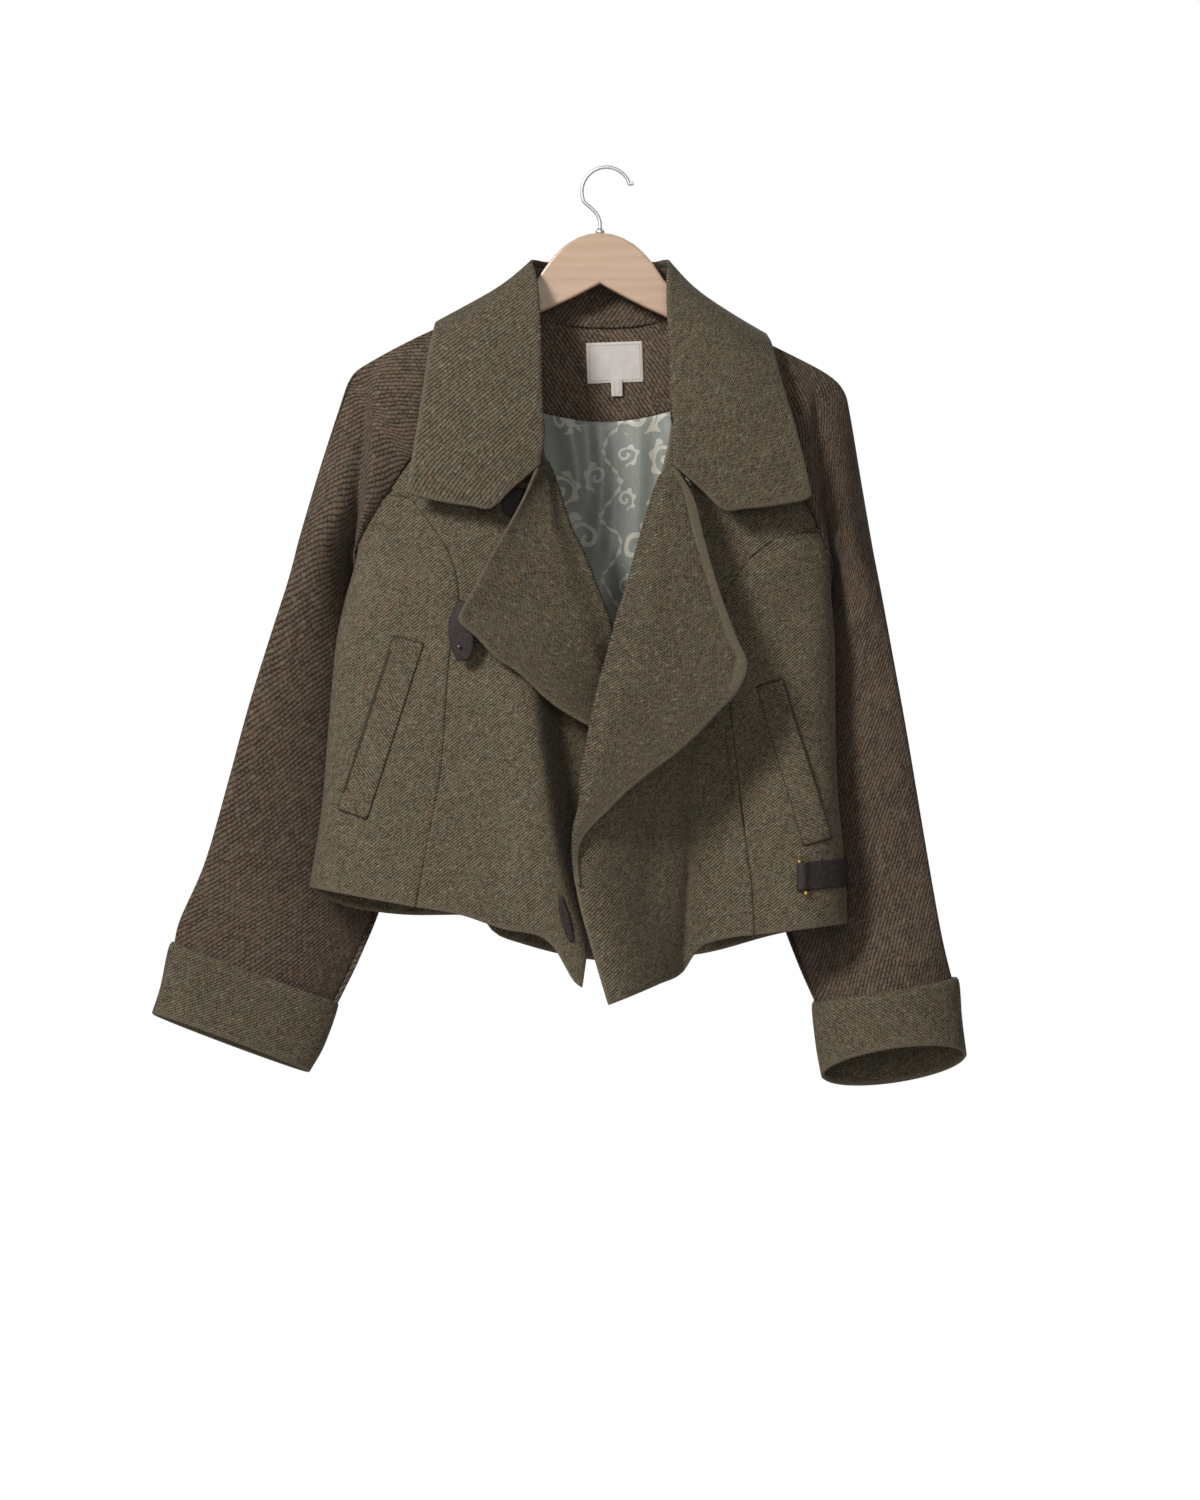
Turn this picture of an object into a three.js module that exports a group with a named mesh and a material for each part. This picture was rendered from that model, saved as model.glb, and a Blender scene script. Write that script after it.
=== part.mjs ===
// A short tweed jacket with a wide notched collar and raglan sleeves, hanging open on a wooden hanger.
// Millimetres. +Z is up, the front faces -Y, and left and right are as seen from the front.
// The origin is the underside of the hook's arch, where a rail carries it.
import * as THREE from "three";
import { mergeVertices } from "three/addons/utils/BufferGeometryUtils.js";

// Driving sizes
const CLOTH = 1.8; // tweed wall
const FACED = 3; // two layers of tweed, as on lapels and collar
const THIN = 1; // satin lining and labels
const LEATHER = 2;
const SEAM = 0.6; // each panel stops this far short of its seam line
const HOOK_WIRE = 3.4;
const HOOK_RADIUS = 21.5;
const WOOD_THICK = 14;
const ROUNDING = 3; // power of the curve with which the body closes at its sides
const HEM_FROM = -450; // the hem's own line fades in below this height
const HEM_REACH = 250;
const PRINCESS_ROWS = 15; // rows of each panel along the princess seam

const OLIVE = { color: 0x5b5344, roughness: 0.95, metalness: 0 };
const BROWN = { color: 0x5a4a3f, roughness: 0.95, metalness: 0 };
const SATIN = { color: 0x7d8078, roughness: 0.45, metalness: 0 };
const CREAM = { color: 0xcfc6b2, roughness: 0.6, metalness: 0 };
const HIDE = { color: 0x2c211f, roughness: 0.55, metalness: 0 };
const BEECH = { color: 0xd9ab82, roughness: 0.5, metalness: 0 };
const STEEL = { color: 0xc9c9c6, roughness: 0.3, metalness: 1 };
const BRASS = { color: 0xb08d4a, roughness: 0.35, metalness: 1 };

const jacket = new THREE.Group();

function add(name, geometry, look) {
  const mesh = new THREE.Mesh(geometry, new THREE.MeshStandardMaterial(look));
  mesh.name = name;
  jacket.add(mesh);
  return mesh;
}

const mix = (a, b, share) => a + (b - a) * share;
const clamp = (value) => Math.min(1, Math.max(0, value));
const ease = (value) => clamp(value) ** 2 * (3 - 2 * clamp(value));
const bell = (value, middle, width) => Math.exp(-(((value - middle) / width) ** 2));

// One column of a table as a smooth function of another, whose values rise or fall steadily.
function column(rows, key, name) {
  const order = rows[0][key] < rows[1][key] ? rows : [...rows].reverse();
  const at = order.map((row) => row[key]);
  const value = order.map((row) => row[name]);
  const last = at.length - 1;
  const slope = value.map((_, i) => {
    const a = Math.max(0, i - 1);
    const b = Math.min(last, i + 1);
    return (value[b] - value[a]) / (at[b] - at[a]);
  });
  return (where) => {
    if (where <= at[0]) return value[0];
    if (where >= at[last]) return value[last];
    let i = 0;
    while (where > at[i + 1]) i += 1;
    const span = at[i + 1] - at[i];
    const t = (where - at[i]) / span;
    const rise = 3 * t * t - 2 * t * t * t;
    const start = t * (1 - t) * (1 - t) * span * slope[i];
    const end = t * t * (1 - t) * span * slope[i + 1];
    return mix(value[i], value[i + 1], rise) + start - end;
  };
}

// Every column of a table as a smooth function of the row number, scaled to run from 0 to 1.
function stations(rows) {
  const numbered = rows.map((row, i) => ({ ...row, step: i / (rows.length - 1) }));
  const names = Object.keys(rows[0]);
  const columns = names.map((name) => column(numbered, "step", name));
  return (share) => Object.fromEntries(names.map((name, i) => [name, columns[i](share)]));
}

// A cloth wall of even thickness round the middle surface point(u, v), with u and v from 0 to 1.
function sheet(point, across, down, wall, ring = false) {
  const columns = ring ? across : across + 1;
  const rows = down + 1;
  const middle = [];
  for (let j = 0; j < rows; j += 1) {
    for (let i = 0; i < columns; i += 1) middle.push(point(i / across, j / down));
  }
  const at = (i, j) => {
    const column = ring ? (i + columns) % columns : Math.min(columns - 1, Math.max(0, i));
    return middle[Math.min(rows - 1, Math.max(0, j)) * columns + column];
  };
  const sides = [[], []];
  for (let j = 0; j < rows; j += 1) {
    for (let i = 0; i < columns; i += 1) {
      const along = at(i + 1, j).clone().sub(at(i - 1, j));
      const drop = at(i, j + 1).clone().sub(at(i, j - 1));
      const out = along.cross(drop).normalize().multiplyScalar(wall / 2);
      sides[0].push(at(i, j).clone().add(out));
      sides[1].push(at(i, j).clone().sub(out));
    }
  }
  const vertices = [...sides[0], ...sides[1]];
  const half = columns * rows;
  const faces = [];
  const quad = (a, b, c, d) => faces.push(a, b, c, a, c, d);
  const index = (i, j, side) => side * half + j * columns + (ring ? i % columns : i);
  for (let j = 0; j < down; j += 1) {
    for (let i = 0; i < across; i += 1) {
      quad(index(i, j, 0), index(i + 1, j, 0), index(i + 1, j + 1, 0), index(i, j + 1, 0));
      quad(index(i, j, 1), index(i, j + 1, 1), index(i + 1, j + 1, 1), index(i + 1, j, 1));
    }
    if (!ring) {
      quad(index(0, j, 0), index(0, j + 1, 0), index(0, j + 1, 1), index(0, j, 1));
      quad(index(across, j, 0), index(across, j, 1), index(across, j + 1, 1), index(across, j + 1, 0));
    }
  }
  for (let i = 0; i < across; i += 1) {
    quad(index(i, 0, 0), index(i, 0, 1), index(i + 1, 0, 1), index(i + 1, 0, 0));
    quad(index(i, down, 0), index(i + 1, down, 0), index(i + 1, down, 1), index(i, down, 1));
  }
  const geometry = new THREE.BufferGeometry().setFromPoints(vertices);
  geometry.setIndex(faces);
  return geometry;
}

// The body's outline, seen from the front: where the cloth rounds away to the back.
const bodySides = [
  { z: -120, left: -150, right: 142 },
  { z: -170, left: -206, right: 186 },
  { z: -214, left: -222, right: 200 },
  { z: -264, left: -226, right: 206 },
  { z: -315, left: -229, right: 211 },
  { z: -367, left: -233, right: 214 },
  { z: -409, left: -244, right: 216 },
  { z: -446, left: -252, right: 219 },
  { z: -531, left: -260, right: 220 },
  { z: -594, left: -265, right: 222 },
  { z: -634, left: -270, right: 226 },
  { z: -683, left: -278, right: 230 },
  { z: -720, left: -279, right: 231 },
];
const sideLeft = column(bodySides, "z", "left");
const sideRight = column(bodySides, "z", "right");

// How far the front and the back stand off the line of the side seams.
const bodyDepths = [
  { z: -120, front: 20, back: 20 },
  { z: -200, front: 27, back: 26 },
  { z: -300, front: 38, back: 34 },
  { z: -450, front: 50, back: 40 },
  { z: -600, front: 57, back: 44 },
  { z: -790, front: 60, back: 46 },
];
const frontDepth = column(bodyDepths, "z", "front");
const backDepth = column(bodyDepths, "z", "back");

function closing(x, z) {
  const middle = (sideLeft(z) + sideRight(z)) / 2;
  const half = (sideRight(z) - sideLeft(z)) / 2;
  const share = Math.min(1, Math.abs(x - middle) / half);
  return (1 - share ** ROUNDING) ** (1 / ROUNDING);
}

const frontY = (x, z) => -frontDepth(z) * closing(x, z);
const backY = (x, z) => backDepth(z) * closing(x, z);

// Seam lines from the neck down, each named by the panels that it joins.
const raglanLeft = [
  { z: -150, x: -88 },
  { z: -180, x: -110 },
  { z: -215, x: -135 },
  { z: -250, x: -161 },
  { z: -294, x: -193 },
  { z: -331, x: -218 },
  { z: -356, x: -231 },
];
const raglanRight = [
  { z: -150, x: 84 },
  { z: -180, x: 103 },
  { z: -215, x: 126 },
  { z: -250, x: 150 },
  { z: -290, x: 176 },
  { z: -335, x: 200 },
  { z: -370, x: 214 },
];
const princessLeft = [
  { z: -306, x: -203 },
  { z: -314, x: -185 },
  { z: -332, x: -168 },
  { z: -369, x: -144 },
  { z: -410, x: -136 },
  { z: -467, x: -145 },
  { z: -574, x: -153 },
  { z: -644, x: -166 },
  { z: -697, x: -176 },
];
const princessRight = [
  { z: -340, x: 204 },
  { z: -346, x: 187 },
  { z: -355, x: 159 },
  { z: -389, x: 124 },
  { z: -419, x: 112 },
  { z: -516, x: 120 },
  { z: -594, x: 129 },
  { z: -674, x: 139 },
  { z: -726, x: 142 },
];
// The front edges: neck, then the roll line of the lapel, then the free edge down to its point.
const edgeLeft = [
  { z: -150, x: -74 },
  { z: -190, x: -69 },
  { z: -250, x: -62 },
  { z: -299, x: -46 },
  { z: -367, x: -20 },
  { z: -432, x: 7 },
  { z: -500, x: 12 },
  { z: -560, x: 8 },
  { z: -620, x: 0 },
  { z: -680, x: -8 },
  { z: -730, x: -14 },
  { z: -774, x: -20 },
];
const edgeRight = [
  { z: -150, x: 71 },
  { z: -190, x: 68 },
  { z: -250, x: 64 },
  { z: -296, x: 54 },
  { z: -362, x: 34 },
  { z: -436, x: 12 },
  { z: -515, x: -9 },
  { z: -574, x: -18 },
  { z: -641, x: -27 },
  { z: -684, x: -24 },
  { z: -731, x: -12 },
  { z: -789, x: 5 },
];

// Folds that the open fronts fall into: how far each stands in front of the plain body.
const turnLeft = column([{ z: -460, x: -76 }, { z: -560, x: -60 }, { z: -652, x: -46 }, { z: -744, x: -19 }], "z", "x");
const TURN_BACK = 36; // how far the left front's edge turns back below the lapel
const foldLeft = (x, z) => {
  const low = ease((-z - 430) / 110);
  const back = ease((x - turnLeft(z) + 4) / 46);
  return low * (11 * bell(x, turnLeft(z) - 12, 40) - TURN_BACK * back);
};
// Below the lapel the right front's edge stands forward in a roll, which ends in a valley.
const NECK_FORWARD = 30;
const ROLL_FORWARD = 38;
const VALLEY_BACK = 27;
const columnRight = column(edgeRight, "z", "x");
const foldRight = (x, z) => {
  const low = ease((-z - 440) / 110);
  const edge = columnRight(z);
  const valley = 86 + (z + 546) * 0.06;
  const across = Math.min(Math.max((x - edge) / (valley - edge), 0), 1);
  const roll = ROLL_FORWARD * (1 - across ** 1.5) ** 0.62;
  const plane = VALLEY_BACK * ease((x - edge) / 60) * ease((205 - x) / 120);
  const neck = NECK_FORWARD * ease((-z - 200) / 110) * (1 - ease((x - edge) / 70));
  return mix(neck, roll - plane, low);
};
const columnLeft = column(edgeLeft, "z", "x");

const frontLeftY = (x, z) => frontY(x, z) - foldLeft(x, z);
const frontRightY = (x, z) => frontY(x, z) - foldRight(x, z);

// A panel between two outlines that run down it, with its rows spaced evenly between the heights in
// levels. Rows above and below a seam's start are counted apart, so that two panels share its points.
// The lower edge leaves the straight line by hem(x).
function panel({ start, end, levels, depth, hem, spread, across, wall }) {
  const rows = [levels[0]];
  for (let i = 1; i < levels.length; i += 1) {
    for (let step = 1; step <= levels[i].rows; step += 1) {
      const share = step / levels[i].rows;
      rows.push({ from: mix(levels[i - 1].from, levels[i].from, share), to: mix(levels[i - 1].to, levels[i].to, share) });
    }
  }
  const down = rows.length - 1;
  return sheet((u, v) => {
    const share = spread ? spread(u) : u;
    const { from, to } = rows[Math.round(v * down)];
    const x = mix(start(from), end(to), share);
    const z = mix(from, to, share) + (hem ? hem(x) * ease((HEM_FROM - mix(from, to, share)) / HEM_REACH) : 0);
    return new THREE.Vector3(x, depth(x, z), z);
  }, across, down, wall);
}

const inset = (seam, shift) => (z) => seam(z) + shift;
const joined = (upper, lower, z0) => (z) => (z > z0 ? upper(z) : lower(z));
// A depth that stops just short of the side seam.
const stopped = (depth) => (x, z) => Math.min(-SEAM, depth(x, z));

// Side panels run from the side seam to the princess seam, and up to the raglan seam.
const raglanXLeft = column(raglanLeft, "z", "x");
const raglanXRight = column(raglanRight, "z", "x");
const princessXLeft = column(princessLeft, "z", "x");
const princessXRight = column(princessRight, "z", "x");
const UNDERARM_LEFT = -356;
const UNDERARM_RIGHT = -370;
const outsideLeft = joined(inset(raglanXLeft, SEAM), sideLeft, UNDERARM_LEFT);
const outsideRight = joined(inset(raglanXRight, -SEAM), sideRight, UNDERARM_RIGHT);
const denseEdge = (u) => u ** 1.7;

add("front_side_left", panel({
  start: outsideLeft,
  end: inset(princessXLeft, -SEAM),
  levels: [{ from: -311, to: -314 }, { from: -681, to: -699, rows: PRINCESS_ROWS }],
  depth: stopped(frontLeftY),
  spread: denseEdge,
  across: 6,
  wall: CLOTH,
}), OLIVE);

add("front_side_right", panel({
  start: inset(princessXRight, SEAM),
  end: outsideRight,
  levels: [{ from: -349, to: -346 }, { from: -726, to: -715, rows: PRINCESS_ROWS }],
  depth: stopped(frontRightY),
  spread: (u) => 1 - denseEdge(1 - u),
  across: 6,
  wall: CLOTH,
}), OLIVE);

// Centre panels run from the princess seam, or the raglan seam above it, to the front edge.
const hemLeft = column([
  { x: -176, lift: 0 },
  { x: -133, lift: 13 },
  { x: -94, lift: 19 },
  { x: -60, lift: 29 },
  { x: -46, lift: 25 },
  { x: -36, lift: 13 },
  { x: -28, lift: 3 },
  { x: -20, lift: 0 },
], "x", "lift");
const hemRight = column([
  { x: 5, lift: 0 },
  { x: 53, lift: -4 },
  { x: 74, lift: -5 },
  { x: 86, lift: 7 },
  { x: 96, lift: 12 },
  { x: 124, lift: 6 },
  { x: 142, lift: 0 },
], "x", "lift");

add("front_centre_left", panel({
  start: inset(joined(raglanXLeft, princessXLeft, -306), SEAM),
  end: columnLeft,
  levels: [{ from: -152, to: -152 }, { from: -314, to: -314, rows: 6 }, { from: -699, to: -774, rows: PRINCESS_ROWS }],
  depth: frontLeftY,
  hem: hemLeft,
  across: 10,
  wall: CLOTH,
}), OLIVE);

add("front_centre_right", panel({
  start: columnRight,
  end: inset(joined(raglanXRight, princessXRight, -340), -SEAM),
  levels: [{ from: -152, to: -152 }, { from: -349, to: -349, rows: 7 }, { from: -789, to: -726, rows: PRINCESS_ROWS }],
  depth: frontRightY,
  hem: hemRight,
  across: 12,
  wall: CLOTH,
}), OLIVE);

// Lapels: the facing turned out over the roll line. Each row runs from the roll to the free edge.
const lapelLeft = [
  { rx: -53, rz: -281, ex: -62, ez: -288, ey: -66 },
  { rx: -46, rz: -299, ex: -77, ez: -321, ey: -68 },
  { rx: -33, rz: -340, ex: -103, ez: -367, ey: -70 },
  { rx: -20, rz: -367, ex: -116, ez: -392, ey: -72 },
  { rx: -9, rz: -395, ex: -129, ez: -416, ey: -74 },
  { rx: -1, rz: -416, ex: -134, ez: -431, ey: -74 },
  { rx: 5, rz: -432, ex: -118, ez: -446, ey: -74 },
  { rx: 8, rz: -447, ex: -99, ez: -466, ey: -73 },
  { rx: 10, rz: -462, ex: -77, ez: -486, ey: -72 },
  { rx: 11, rz: -480, ex: -46, ez: -513, ey: -70 },
  { rx: 12, rz: -500, ex: -8, ez: -532, ey: -68 },
];
const lapelRight = [
  { rx: 65, rz: -287, ex: 71, ez: -292, ey: -74 },
  { rx: 54, rz: -298, ex: 85, ez: -318, ey: -78 },
  { rx: 44, rz: -327, ex: 94, ez: -355, ey: -84 },
  { rx: 34, rz: -362, ex: 109, ez: -406, ey: -90 },
  { rx: 24, rz: -399, ex: 124, ez: -447, ey: -96 },
  { rx: 15, rz: -428, ex: 134, ez: -472, ey: -98 },
  { rx: 8, rz: -455, ex: 124, ez: -498, ey: -98 },
  { rx: 1, rz: -480, ex: 107, ez: -516, ey: -98 },
  { rx: -5, rz: -504, ex: 87, ez: -537, ey: -97 },
  { rx: -10, rz: -528, ex: 66, ez: -556, ey: -96 },
  { rx: -15, rz: -556, ex: 44, ez: -572, ey: -96 },
  { rx: -19, rz: -578, ex: 22, ez: -590, ey: -96 },
  { rx: -20, rz: -602, ex: 2, ez: -610, ey: -96 },
  { rx: -25.5, rz: -624, ex: -14, ez: -626, ey: -97 },
  { rx: -27, rz: -642, ex: -23, ez: -642, ey: -97 },
];
const LAPEL_LIFT = 3; // from the middle of the front to the middle of the facing at the roll

function lapel(rows, depth, clear, across, down) {
  const row = stations(rows);
  return sheet((u, v) => {
    const r = row(v);
    const x = mix(r.rx, r.ex, u);
    const z = mix(r.rz, r.ez, u);
    const roll = depth(r.rx, r.rz) - LAPEL_LIFT;
    const full = Math.min(roll - clear * ease(u / 0.22), mix(roll - clear, r.ey, u));
    return new THREE.Vector3(x, mix(roll, full, ease(u / 0.22)), z);
  }, across, down, FACED);
}

add("lapel_left", lapel(lapelLeft, frontLeftY, 8, 8, 11), OLIVE);
add("lapel_right", lapel(lapelRight, frontRightY, 8, 8, 15), OLIVE);

// The back, from the neck seam and the back raglan seams to the hem.
const backOutline = [
  { lx: -78, lz: -128, rx: 75, rz: -130, sag: -23 },
  { lx: -92, lz: -141, rx: 89, rz: -143, sag: -14 },
  { lx: -121, lz: -170, rx: 117, rz: -173, sag: -6 },
  { lx: -151, lz: -210, rx: 145, rz: -213, sag: 0 },
  { lx: -179, lz: -255, rx: 171, rz: -258, sag: 0 },
  { lx: -205, lz: -300, rx: 193, rz: -306, sag: 0 },
  { lx: -229, lz: -350, rx: 212, rz: -362, sag: 0 },
];
const backTop = stations(backOutline);
const backHem = column([
  { x: -278, drop: 0 },
  { x: -239, drop: -14 },
  { x: -191, drop: -18 },
  { x: -128, drop: -16 },
  { x: -100, drop: -32 },
  { x: -43, drop: -47 },
  { x: -3, drop: -51 },
  { x: 91, drop: -40 },
  { x: 167, drop: -16 },
  { x: 231, drop: 0 },
], "x", "drop");
const BACK_SHARE = 0.4; // of the panel's rows lie above the underarms

function backPoint(u, v) {
  const share = 0.5 - 0.5 * Math.cos(Math.PI * u);
  let x;
  let z;
  if (v < BACK_SHARE) {
    const r = backTop(v / BACK_SHARE);
    x = mix(r.lx + SEAM, r.rx - SEAM, share);
    z = mix(r.lz, r.rz, share) + r.sag * Math.sin(Math.PI * share);
  } else {
    const low = (v - BACK_SHARE) / (1 - BACK_SHARE);
    const from = mix(-350, -686, low);
    const to = mix(-362, -715, low);
    x = mix(sideLeft(from), sideRight(to), share);
    z = mix(from, to, share) + backHem(x) * ease((low - 0.2) / 0.8);
  }
  return new THREE.Vector3(x, Math.max(SEAM, backY(x, z)), z);
}
add("back", sheet(backPoint, 16, 18, CLOTH), OLIVE);

// Inside the back: a facing below the neck seam, then the lining down to the hem.
const FACING_IN = 3.2;
const LINING_IN = 3.4;
const facingRows = stations([
  { lx: -76, lz: -136, rx: 73, rz: -138, sag: -15 },
  { lx: -88, lz: -160, rx: 86, rz: -162, sag: -14 },
  { lx: -112, lz: -196, rx: 110, rz: -198, sag: -22 },
  { lx: -122, lz: -206, rx: 120, rz: -208, sag: -31 },
]);
const inside = (x, z, inward) => new THREE.Vector3(x, backY(x, z) - inward, z);
add("neck_facing", sheet((u, v) => {
  const r = facingRows(v);
  const z = mix(r.lz, r.rz, u) + r.sag * Math.sin(Math.PI * u);
  return inside(mix(r.lx, r.rx, u), z, FACING_IN);
}, 10, 4, CLOTH), BROWN);
add("lining_back", sheet((u, v) => {
  const r = facingRows(1);
  const top = mix(r.lz, r.rz, u) + r.sag * Math.sin(Math.PI * u) - 1;
  const wide = ease(v / 0.35);
  const low = mix(top, -668 + 0.8 * backHem(mix(-260, 214, u)), v);
  const x = mix(mix(r.lx, sideLeft(low) + 16, wide), mix(r.rx, sideRight(low) - 16, wide), u);
  return inside(x, low, LINING_IN);
}, 12, 12, THIN), SATIN);

// A point that lies on a panel, lifted off it square to its surface.
function laid(x, z, depth, lift) {
  const tilt = new THREE.Vector3(depth(x - 1, z) - depth(x + 1, z), 2, depth(x, z - 1) - depth(x, z + 1));
  return new THREE.Vector3(x, depth(x, z), z).addScaledVector(tilt.normalize(), -lift);
}

const LABEL_LIFT = 1.7;
function patch(left, right, top, bottom, depth, lift, across, down, wall) {
  return sheet((u, v) => laid(mix(left, right, u), mix(top, bottom, v), depth, lift), across, down, wall);
}
add("label", patch(-15, 38, -166, -204, backY, FACING_IN + LABEL_LIFT, 4, 3, THIN), CREAM);
add("size_tab", patch(9, 19, -200, -217, backY, FACING_IN + LABEL_LIFT + 1.5, 2, 3, THIN), CREAM);

// Collar: a stand on the neck seam and a fall that turns over it. Rows run from the left notch round
// the back of the neck to the right notch.
const standRows = stations([
  { nx: -64, nz: -246, ny: -46, rx: -60, rz: -240, ry: -54 },
  { nx: -69, nz: -190, ny: -38, rx: -62, rz: -184, ry: -44 },
  { nx: -76, nz: -137, ny: -20, rx: -66, rz: -122, ry: -26 },
  { nx: -82, nz: -112, ny: 0, rx: -70, rz: -97, ry: -3 },
  { nx: -66, nz: -135, ny: 15.6, rx: -57, rz: -94, ry: 16 },
  { nx: -36, nz: -150, ny: 15.6, rx: -32, rz: -94, ry: 26 },
  { nx: -2, nz: -154, ny: 16.2, rx: -3, rz: -94, ry: 30 },
  { nx: 32, nz: -151, ny: 15.8, rx: 27, rz: -94, ry: 26 },
  { nx: 62, nz: -136, ny: 15.6, rx: 51, rz: -94, ry: 16 },
  { nx: 79, nz: -114, ny: 0, rx: 64, rz: -98, ry: -3 },
  { nx: 74, nz: -139, ny: -20, rx: 63, rz: -124, ry: -26 },
  { nx: 68, nz: -190, ny: -38, rx: 63, rz: -184, ry: -44 },
  { nx: 66, nz: -246, ny: -46, rx: 64, rz: -240, ry: -54 },
]);
add("collar_stand", sheet((u, v) => {
  const r = standRows(u);
  return new THREE.Vector3(mix(r.rx, r.nx, v), mix(r.ry, r.ny, v), mix(r.rz, r.nz, v));
}, 36, 2, CLOTH), BROWN);

const fallRows = stations([
  { rx: -60, rz: -284, ry: -66, ex: -184, ez: -306, ey: -60, puff: 3, drop: 1 },
  { rx: -56, rz: -256, ry: -66, ex: -177, ez: -266, ey: -58, puff: 4, drop: 0.3 },
  { rx: -58, rz: -222, ry: -62, ex: -170, ez: -222, ey: -52, puff: 5, drop: 0 },
  { rx: -59, rz: -174, ry: -52, ex: -164, ez: -178, ey: -42, puff: 6, drop: 0 },
  { rx: -61, rz: -132, ry: -38, ex: -160, ez: -157, ey: -26, puff: 6, drop: 0 },
  { rx: -64, rz: -104, ry: -22, ex: -158, ez: -147, ey: -6, puff: 5, drop: 0 },
  { rx: -68, rz: -88, ry: 0, ex: -152, ez: -146, ey: 20, puff: 4, drop: 0 },
  { rx: -55, rz: -87, ry: 24, ex: -126, ez: -162, ey: 42, puff: 5, drop: 0 },
  { rx: -32, rz: -87, ry: 33, ex: -72, ez: -186, ey: 52, puff: 6, drop: 0 },
  { rx: -3, rz: -87, ry: 37, ex: -2, ez: -196, ey: 56, puff: 6, drop: 0 },
  { rx: 27, rz: -87, ry: 33, ex: 68, ez: -188, ey: 52, puff: 6, drop: 0 },
  { rx: 49, rz: -87, ry: 24, ex: 122, ez: -166, ey: 42, puff: 5, drop: 0 },
  { rx: 62, rz: -88, ry: 0, ex: 150, ez: -156, ey: 20, puff: 4, drop: 0 },
  { rx: 61, rz: -106, ry: -22, ex: 156, ez: -161, ey: -6, puff: 5, drop: 0 },
  { rx: 61, rz: -134, ry: -38, ex: 161, ez: -176, ey: -26, puff: 6, drop: 0 },
  { rx: 63, rz: -174, ry: -52, ex: 168, ez: -206, ey: -44, puff: 6, drop: 0 },
  { rx: 65, rz: -222, ry: -62, ex: 178, ez: -241, ey: -54, puff: 5, drop: 0 },
  { rx: 67, rz: -256, ry: -66, ex: 187, ez: -276, ey: -60, puff: 4, drop: 0.3 },
  { rx: 66, rz: -284, ry: -68, ex: 195, ez: -311, ey: -62, puff: 3, drop: 1 },
]);
// The lower edge of each collar end: the notch runs down and out, then the edge turns to the corner.
const endDrop = column([
  { share: 0, left: 0, right: 0 },
  { share: 0.2, left: -18, right: -10 },
  { share: 0.36, left: -33, right: -22 },
  { share: 0.5, left: -28, right: -26 },
  { share: 0.7, left: -20, right: -17 },
  { share: 0.95, left: -7, right: -5 },
  { share: 1, left: -2, right: -2 },
], "share", "left");
add("collar_fall", sheet((u, v) => {
  const r = fallRows(u);
  const x = mix(r.rx, r.ex, v);
  const z = mix(r.rz, r.ez, v) + r.drop * endDrop(v);
  const y = mix(r.ry, r.ey, v);
  const swell = r.puff * Math.sin(Math.PI * v);
  const facing = new THREE.Vector3(x * 0.3, y * 2, 18).normalize();
  return new THREE.Vector3(x, y, z).addScaledVector(facing, swell);
}, 45, 5, FACED), OLIVE);

// Raglan sleeves. Each row is a section from the overarm line to the front seam and to the back seam.
// Below the underarm both seams are one. dent is the fold down from the shoulder point.
const sleeveLeft = [
  { ox: -88, oz: -126, oy: 0, fx: -89, fz: -150, gx: -93, gz: -141, front: 2, back: 2, dent: 0, at: 0.6 },
  { ox: -126, oz: -146, oy: 0, fx: -111, fz: -181, gx: -122, gz: -170, front: 4, back: 4, dent: 0, at: 0.6 },
  { ox: -172, oz: -163, oy: 0, fx: -136, fz: -216, gx: -152, gz: -210, front: 5, back: 5, dent: 0, at: 0.6 },
  { ox: -224, oz: -188, oy: 0, fx: -162, fz: -251, gx: -180, gz: -255, front: 6, back: 6, dent: 3, at: 0.5 },
  { ox: -249, oz: -226, oy: 2, fx: -194, fz: -295, gx: -206, gz: -300, front: 12, back: 18, dent: 10, at: 0.56 },
  { ox: -269, oz: -288, oy: 3, fx: -219, fz: -332, gx: -222, gz: -332, front: 20, back: 30, dent: 20, at: 0.7 },
  { ox: -289, oz: -352, oy: 4, fx: -235, fz: -362, gx: -235, gz: -362, front: 24, back: 40, dent: 12, at: 0.86 },
];
const sleeveRight = [
  { ox: 84, oz: -128, oy: 0, fx: 85, fz: -150, gx: 90, gz: -143, front: 2, back: 2, dent: 0, at: 0.6 },
  { ox: 122, oz: -150, oy: 0, fx: 104, fz: -181, gx: 118, gz: -173, front: 4, back: 4, dent: 0, at: 0.6 },
  { ox: 166, oz: -171, oy: 0, fx: 127, fz: -216, gx: 146, gz: -213, front: 5, back: 5, dent: 0, at: 0.6 },
  { ox: 214, oz: -196, oy: 0, fx: 151, fz: -251, gx: 172, gz: -258, front: 6, back: 6, dent: 3, at: 0.5 },
  { ox: 234, oz: -232, oy: 2, fx: 177, fz: -291, gx: 194, gz: -306, front: 12, back: 18, dent: 8, at: 0.6 },
  { ox: 245, oz: -298, oy: 3, fx: 201, fz: -336, gx: 206, gz: -340, front: 20, back: 30, dent: 14, at: 0.8 },
  { ox: 256, oz: -362, oy: 4, fx: 218, fz: -376, gx: 218, gz: -376, front: 24, back: 40, dent: 8, at: 0.9 },
];
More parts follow.
